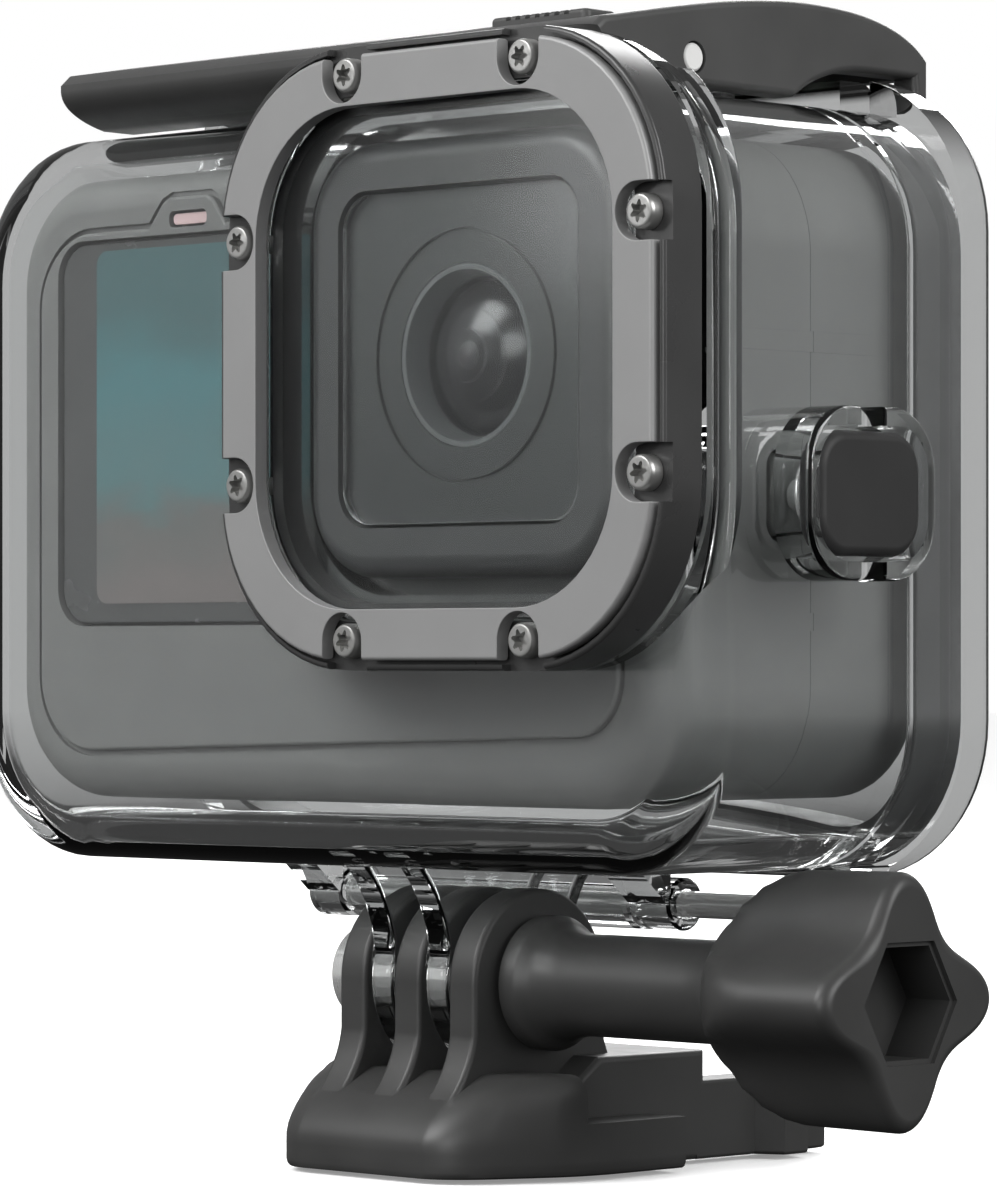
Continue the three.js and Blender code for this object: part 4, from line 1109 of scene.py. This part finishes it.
def screen_glass(name, limits, y, look, node):
    x, z = limits["x"], limits["z"]
    outline = rounded((x[0] + 0.25, x[1] - 0.25), (z[0] + 0.25, z[1] - 0.25), 2.75)
    place(name, prism(outline, "y", *y, 0.15, 3), look, node)


def add_screens():
    screen_glass("front_display", FRONT_SCREEN, (8.85, 9.85), "border", "front_screen")
    screen_glass("rear_display", REAR_SCREEN, (35, 36.1), "dark_glass", "rear_screen")
    LOOKS["picture"] = picture_look()
    picture = prism(rounded(PICTURE["x"], PICTURE["z"], 1.2), "y", 8.78, 8.9)
    place("front_picture", picture, "picture")
    window = prism(rounded((-36.5, -32.5), (11.8, 12.7), 0.4), "y", 8.75, 9.6, 0.1, 2)
    place("light_window", window, "light", "status_light")


def add_battery_door():
    low, high = in_lens_frame("battery_door")
    outline = rounded((low.y, high.y), (low.z, high.z), 1.2)
    door = prism(outline, "x", low.x, high.x, 0.15, 2)
    place("battery_hatch", door, "panel", "battery_door")


def lens_pane(start, end, *rim):
    return prism(square(LENS_PANE["half"], LENS_PANE["corner"]), "y", start, end, *rim)


def add_lens_cover():
    back = CAMERA["y"][0] - 0.3
    outline = square(LENS_COVER["half"], LENS_COVER["corner"])
    hole = prism(square(LENS_COVER["open"], LENS_COVER["open_corner"]), "y", 0, 20)
    body = prism(outline, "y", LENS_COVER["front"], 14, LENS_COVER["edge"], 8)
    body = cut(body, box((-30, 30), (back, 30), (-30, 30)), hole)
    place("cover_frame", body, "cover", "lens_cover_frame", sharp=28)
    pane = lens_pane(3.35, 4.1, 0.1, 2)
    place("cover_glass", pane, "glass", "lens_cover_glass")


def dome_profile():
    """A sphere's cap from near its apex to its rim, as (distance along the axis, radius)."""
    sphere, apex = DOME["sphere"], DOME["apex"]
    edge = asin(DOME["rim"] / sphere)
    angles = [edge * i / 24 for i in range(1, 25)]
    return [(apex + sphere * (1 - cos(t)), sphere * sin(t)) for t in angles]


def add_lens():
    front, back = LENS_MASK["y"]
    groove = tube("y", 4, 4.7, *LENS_MASK["groove"])
    mask = cut(lens_pane(front, back), rod("y", 4, 7, LENS_MASK["hole"]), groove)
    place("flat_mask", mask, "mask", "lens_mask")

    rim = cut(rod("y", *LENS_RIM["y"], LENS_RIM["radius"]), turned(LENS_RIM["funnel"], "y"))
    place("lens_rim", rim, "rim", "lens_mask")

    dome = turned(dome_profile() + [(DOME["back"], DOME["rim"])], "y")
    place("front_element", dome, "lens", "lens_front_element", sharp=40)


def add_camera_buttons():
    y, z = SIDE_BUTTON["y"], SIDE_BUTTON["z"]
    cap = prism(centred(3.1, 3.1, 1.2, y, z), "x", 15.2, CAMERA["x"][1] + 0.4, 0.35, 4)
    button = "camera_mode_button"
    place("mode_key", cap, "body", button, rides=button)
    top = CAMERA["z"][1] + 0.2
    at = (TOP_BUTTON["x"], TOP_BUTTON["y"], 0)
    cap = turned([(15, 4.6), (top - 0.3, 4.6), (top, 4.3)], "z", at)
    button = "camera_shutter_button"
    place("shutter_key", cap, "body", button, rides=button)


def add_stowed_fingers():
    low, _ = in_lens_frame("folding_finger_left")
    front, back = STOWED["y"]
    for side, word in ((-1, "left"), (1, "right")):
        middle = STOWED["x"] + side * 4
        outline = rounded((middle - 3.4, middle + 3.4), (front + 0.4, back - 0.4), 3.3)
        plate = prism(outline, "z", low.z, low.z + 1.5, 0.2, 3)
        plate = cut(plate, rod("z", low.z - 5, low.z + 5, 1.9, (middle, front + 4.2, 0)))
        name = f"folding_finger_{word}"
        place(f"stowed_{name}", plate, "body", name)


# ------------------------------ CAD nodes that stay as they are
KEPT = {
    "thumbscrew_bolt": "steel",
    "lens_barrel": "barrel",
    "image_sensor_board": "board",
    "heat_sink": "spreader",
    "main_board": "board",
    "battery": "wrap",
}


def dress_kept_nodes():
    for name, look in KEPT.items():
        mesh = nodes[name]
        mesh.data.materials.clear()
        mesh.data.materials.append(LOOKS[look])
        soften(mesh, 0.15, 2, 50)


# ------------------------------ stage
ABOVE = 0.8  # the studio's brightness above the horizon
BELOW = 0.09  # and under it
HORIZON = (-0.2, -0.03)  # the heights of a direction between which it changes
MIRRORED = 0.3  # the share of that brightness which reflections see
FLOOR = {"half": 3, "below": 0.0004, "glow": 0.26}
# Each lamp's place, its size and its watts.
LAMPS = {
    "key": ((-0.35, -0.75, 0.75), (0.6, 0.6), 9),
    "side": ((0.8, 0.15, 0.45), (0.5, 0.6), 5),
    "gleam": ((-0.168, -0.256, 0.118), (0.06, 0.06), 0.04),
    "front": ((0.27, -0.75, 0.26), (0.35, 0.35), 2),
    "back": ((-0.45, 0.7, 0.5), (0.5, 0.5), 5),
}
AIM = Vector((0, 0, 0.045))
VIEW = {"place": (0.3050, -0.3021, 0.0390), "heading": 45, "lens": 165.4, "shift_y": 0.0526}


def add_floor():
    half = FLOOR["half"]
    verts = [(-half, -half, 0), (half, -half, 0), (half, half, 0), (-half, half, 0)]
    mesh = bpy.data.meshes.new("floor")
    mesh.from_pydata(verts, [], [(0, 1, 2, 3)])
    floor = shown(bpy.data.objects.new("floor", mesh))
    look, tree, shader = new_look("pale_floor")
    tinted(tree, shader, (0.94, 0.94, 0.94), 0.01, 4)
    shader.inputs["Roughness"].default_value = 0.6
    shader.inputs["Emission Color"].default_value = (1, 1, 1, 1)
    shader.inputs["Emission Strength"].default_value = FLOOR["glow"]
    mesh.materials.append(look)
    floor.location.z = cad_box[0][2] - FLOOR["below"]
    # The studio is dark below the part: the floor is seen, but throws no light up at it.
    floor.visible_diffuse = False
    floor.visible_glossy = False
    floor.visible_transmission = False


def add_lamp(name, position, size, power):
    light = bpy.data.lights.new(name, "AREA")
    light.shape = "RECTANGLE"
    light.size, light.size_y = size
    light.energy = power
    lamp = shown(bpy.data.objects.new(name, light))
    lamp.location = position
    lamp.rotation_euler = (AIM - Vector(position)).to_track_quat("-Z", "Y").to_euler()


def add_world():
    """White to the camera, graded by height for the part, and dimmer in reflections."""
    world = bpy.data.worlds.new("studio")
    world.use_nodes = True
    tree = world.node_tree
    background = tree.nodes["Background"]
    background.inputs["Color"].default_value = (1, 1, 1, 1)
    rays = tree.nodes.new("ShaderNodeLightPath").outputs
    height = graded(tree, height_in(tree, where(tree, "Generated")), BELOW, ABOVE, *HORIZON)
    mirrored = graded(tree, rays["Is Glossy Ray"], 1, MIRRORED)
    # The sky seen through clear plastic is as white as the sky beside it.
    share = maths(tree, "MULTIPLY_ADD", rays["Is Transmission Ray"], 1 / ABOVE - 1, mirrored)
    dimmed = maths(tree, "MULTIPLY", height, share)
    brightest = maths(tree, "MAXIMUM", dimmed, rays["Is Camera Ray"])
    tree.links.new(brightest, background.inputs["Strength"])
    bpy.context.scene.world = world


def add_view():
    data = bpy.data.cameras.new("view")
    data.lens = VIEW["lens"]
    data.shift_y = VIEW["shift_y"]
    data.clip_start = 0.01
    view = shown(bpy.data.objects.new("view", data))
    view.location = VIEW["place"]
    view.rotation_euler = (radians(90), 0, radians(VIEW["heading"]))
    bpy.context.scene.view_settings.view_transform = "Standard"
    bpy.context.scene.camera = view


add_buckle()
add_nut()
add_knob()
add_bezel()
add_screws()
add_port()
add_shell()
add_door()
add_seal()
add_pin("hinge_pin", "door_hinge_pin", HINGE, HINGE["pin"], "steel", "housing", 0.25)
add_clip()
add_arm()
add_pin("clip_pin", "latch_pin", CLIP_PIN, CLIP_PIN["radius"], "pin", "latch_clip", 0.15)
add_pin("arm_pin", "latch_arm_pin", ARM_PIN, ARM_PIN["radius"], "steel", "housing", 0.15)
add_lock()
add_side_button()
add_shutter_button()
add_front_cover()
add_rear_cover()
add_screens()
add_battery_door()
add_lens_cover()
add_lens()
add_camera_buttons()
add_stowed_fingers()
dress_kept_nodes()
add_floor()
for lamp_name, lamp in LAMPS.items():
    add_lamp(lamp_name, *lamp)
add_world()
add_view()
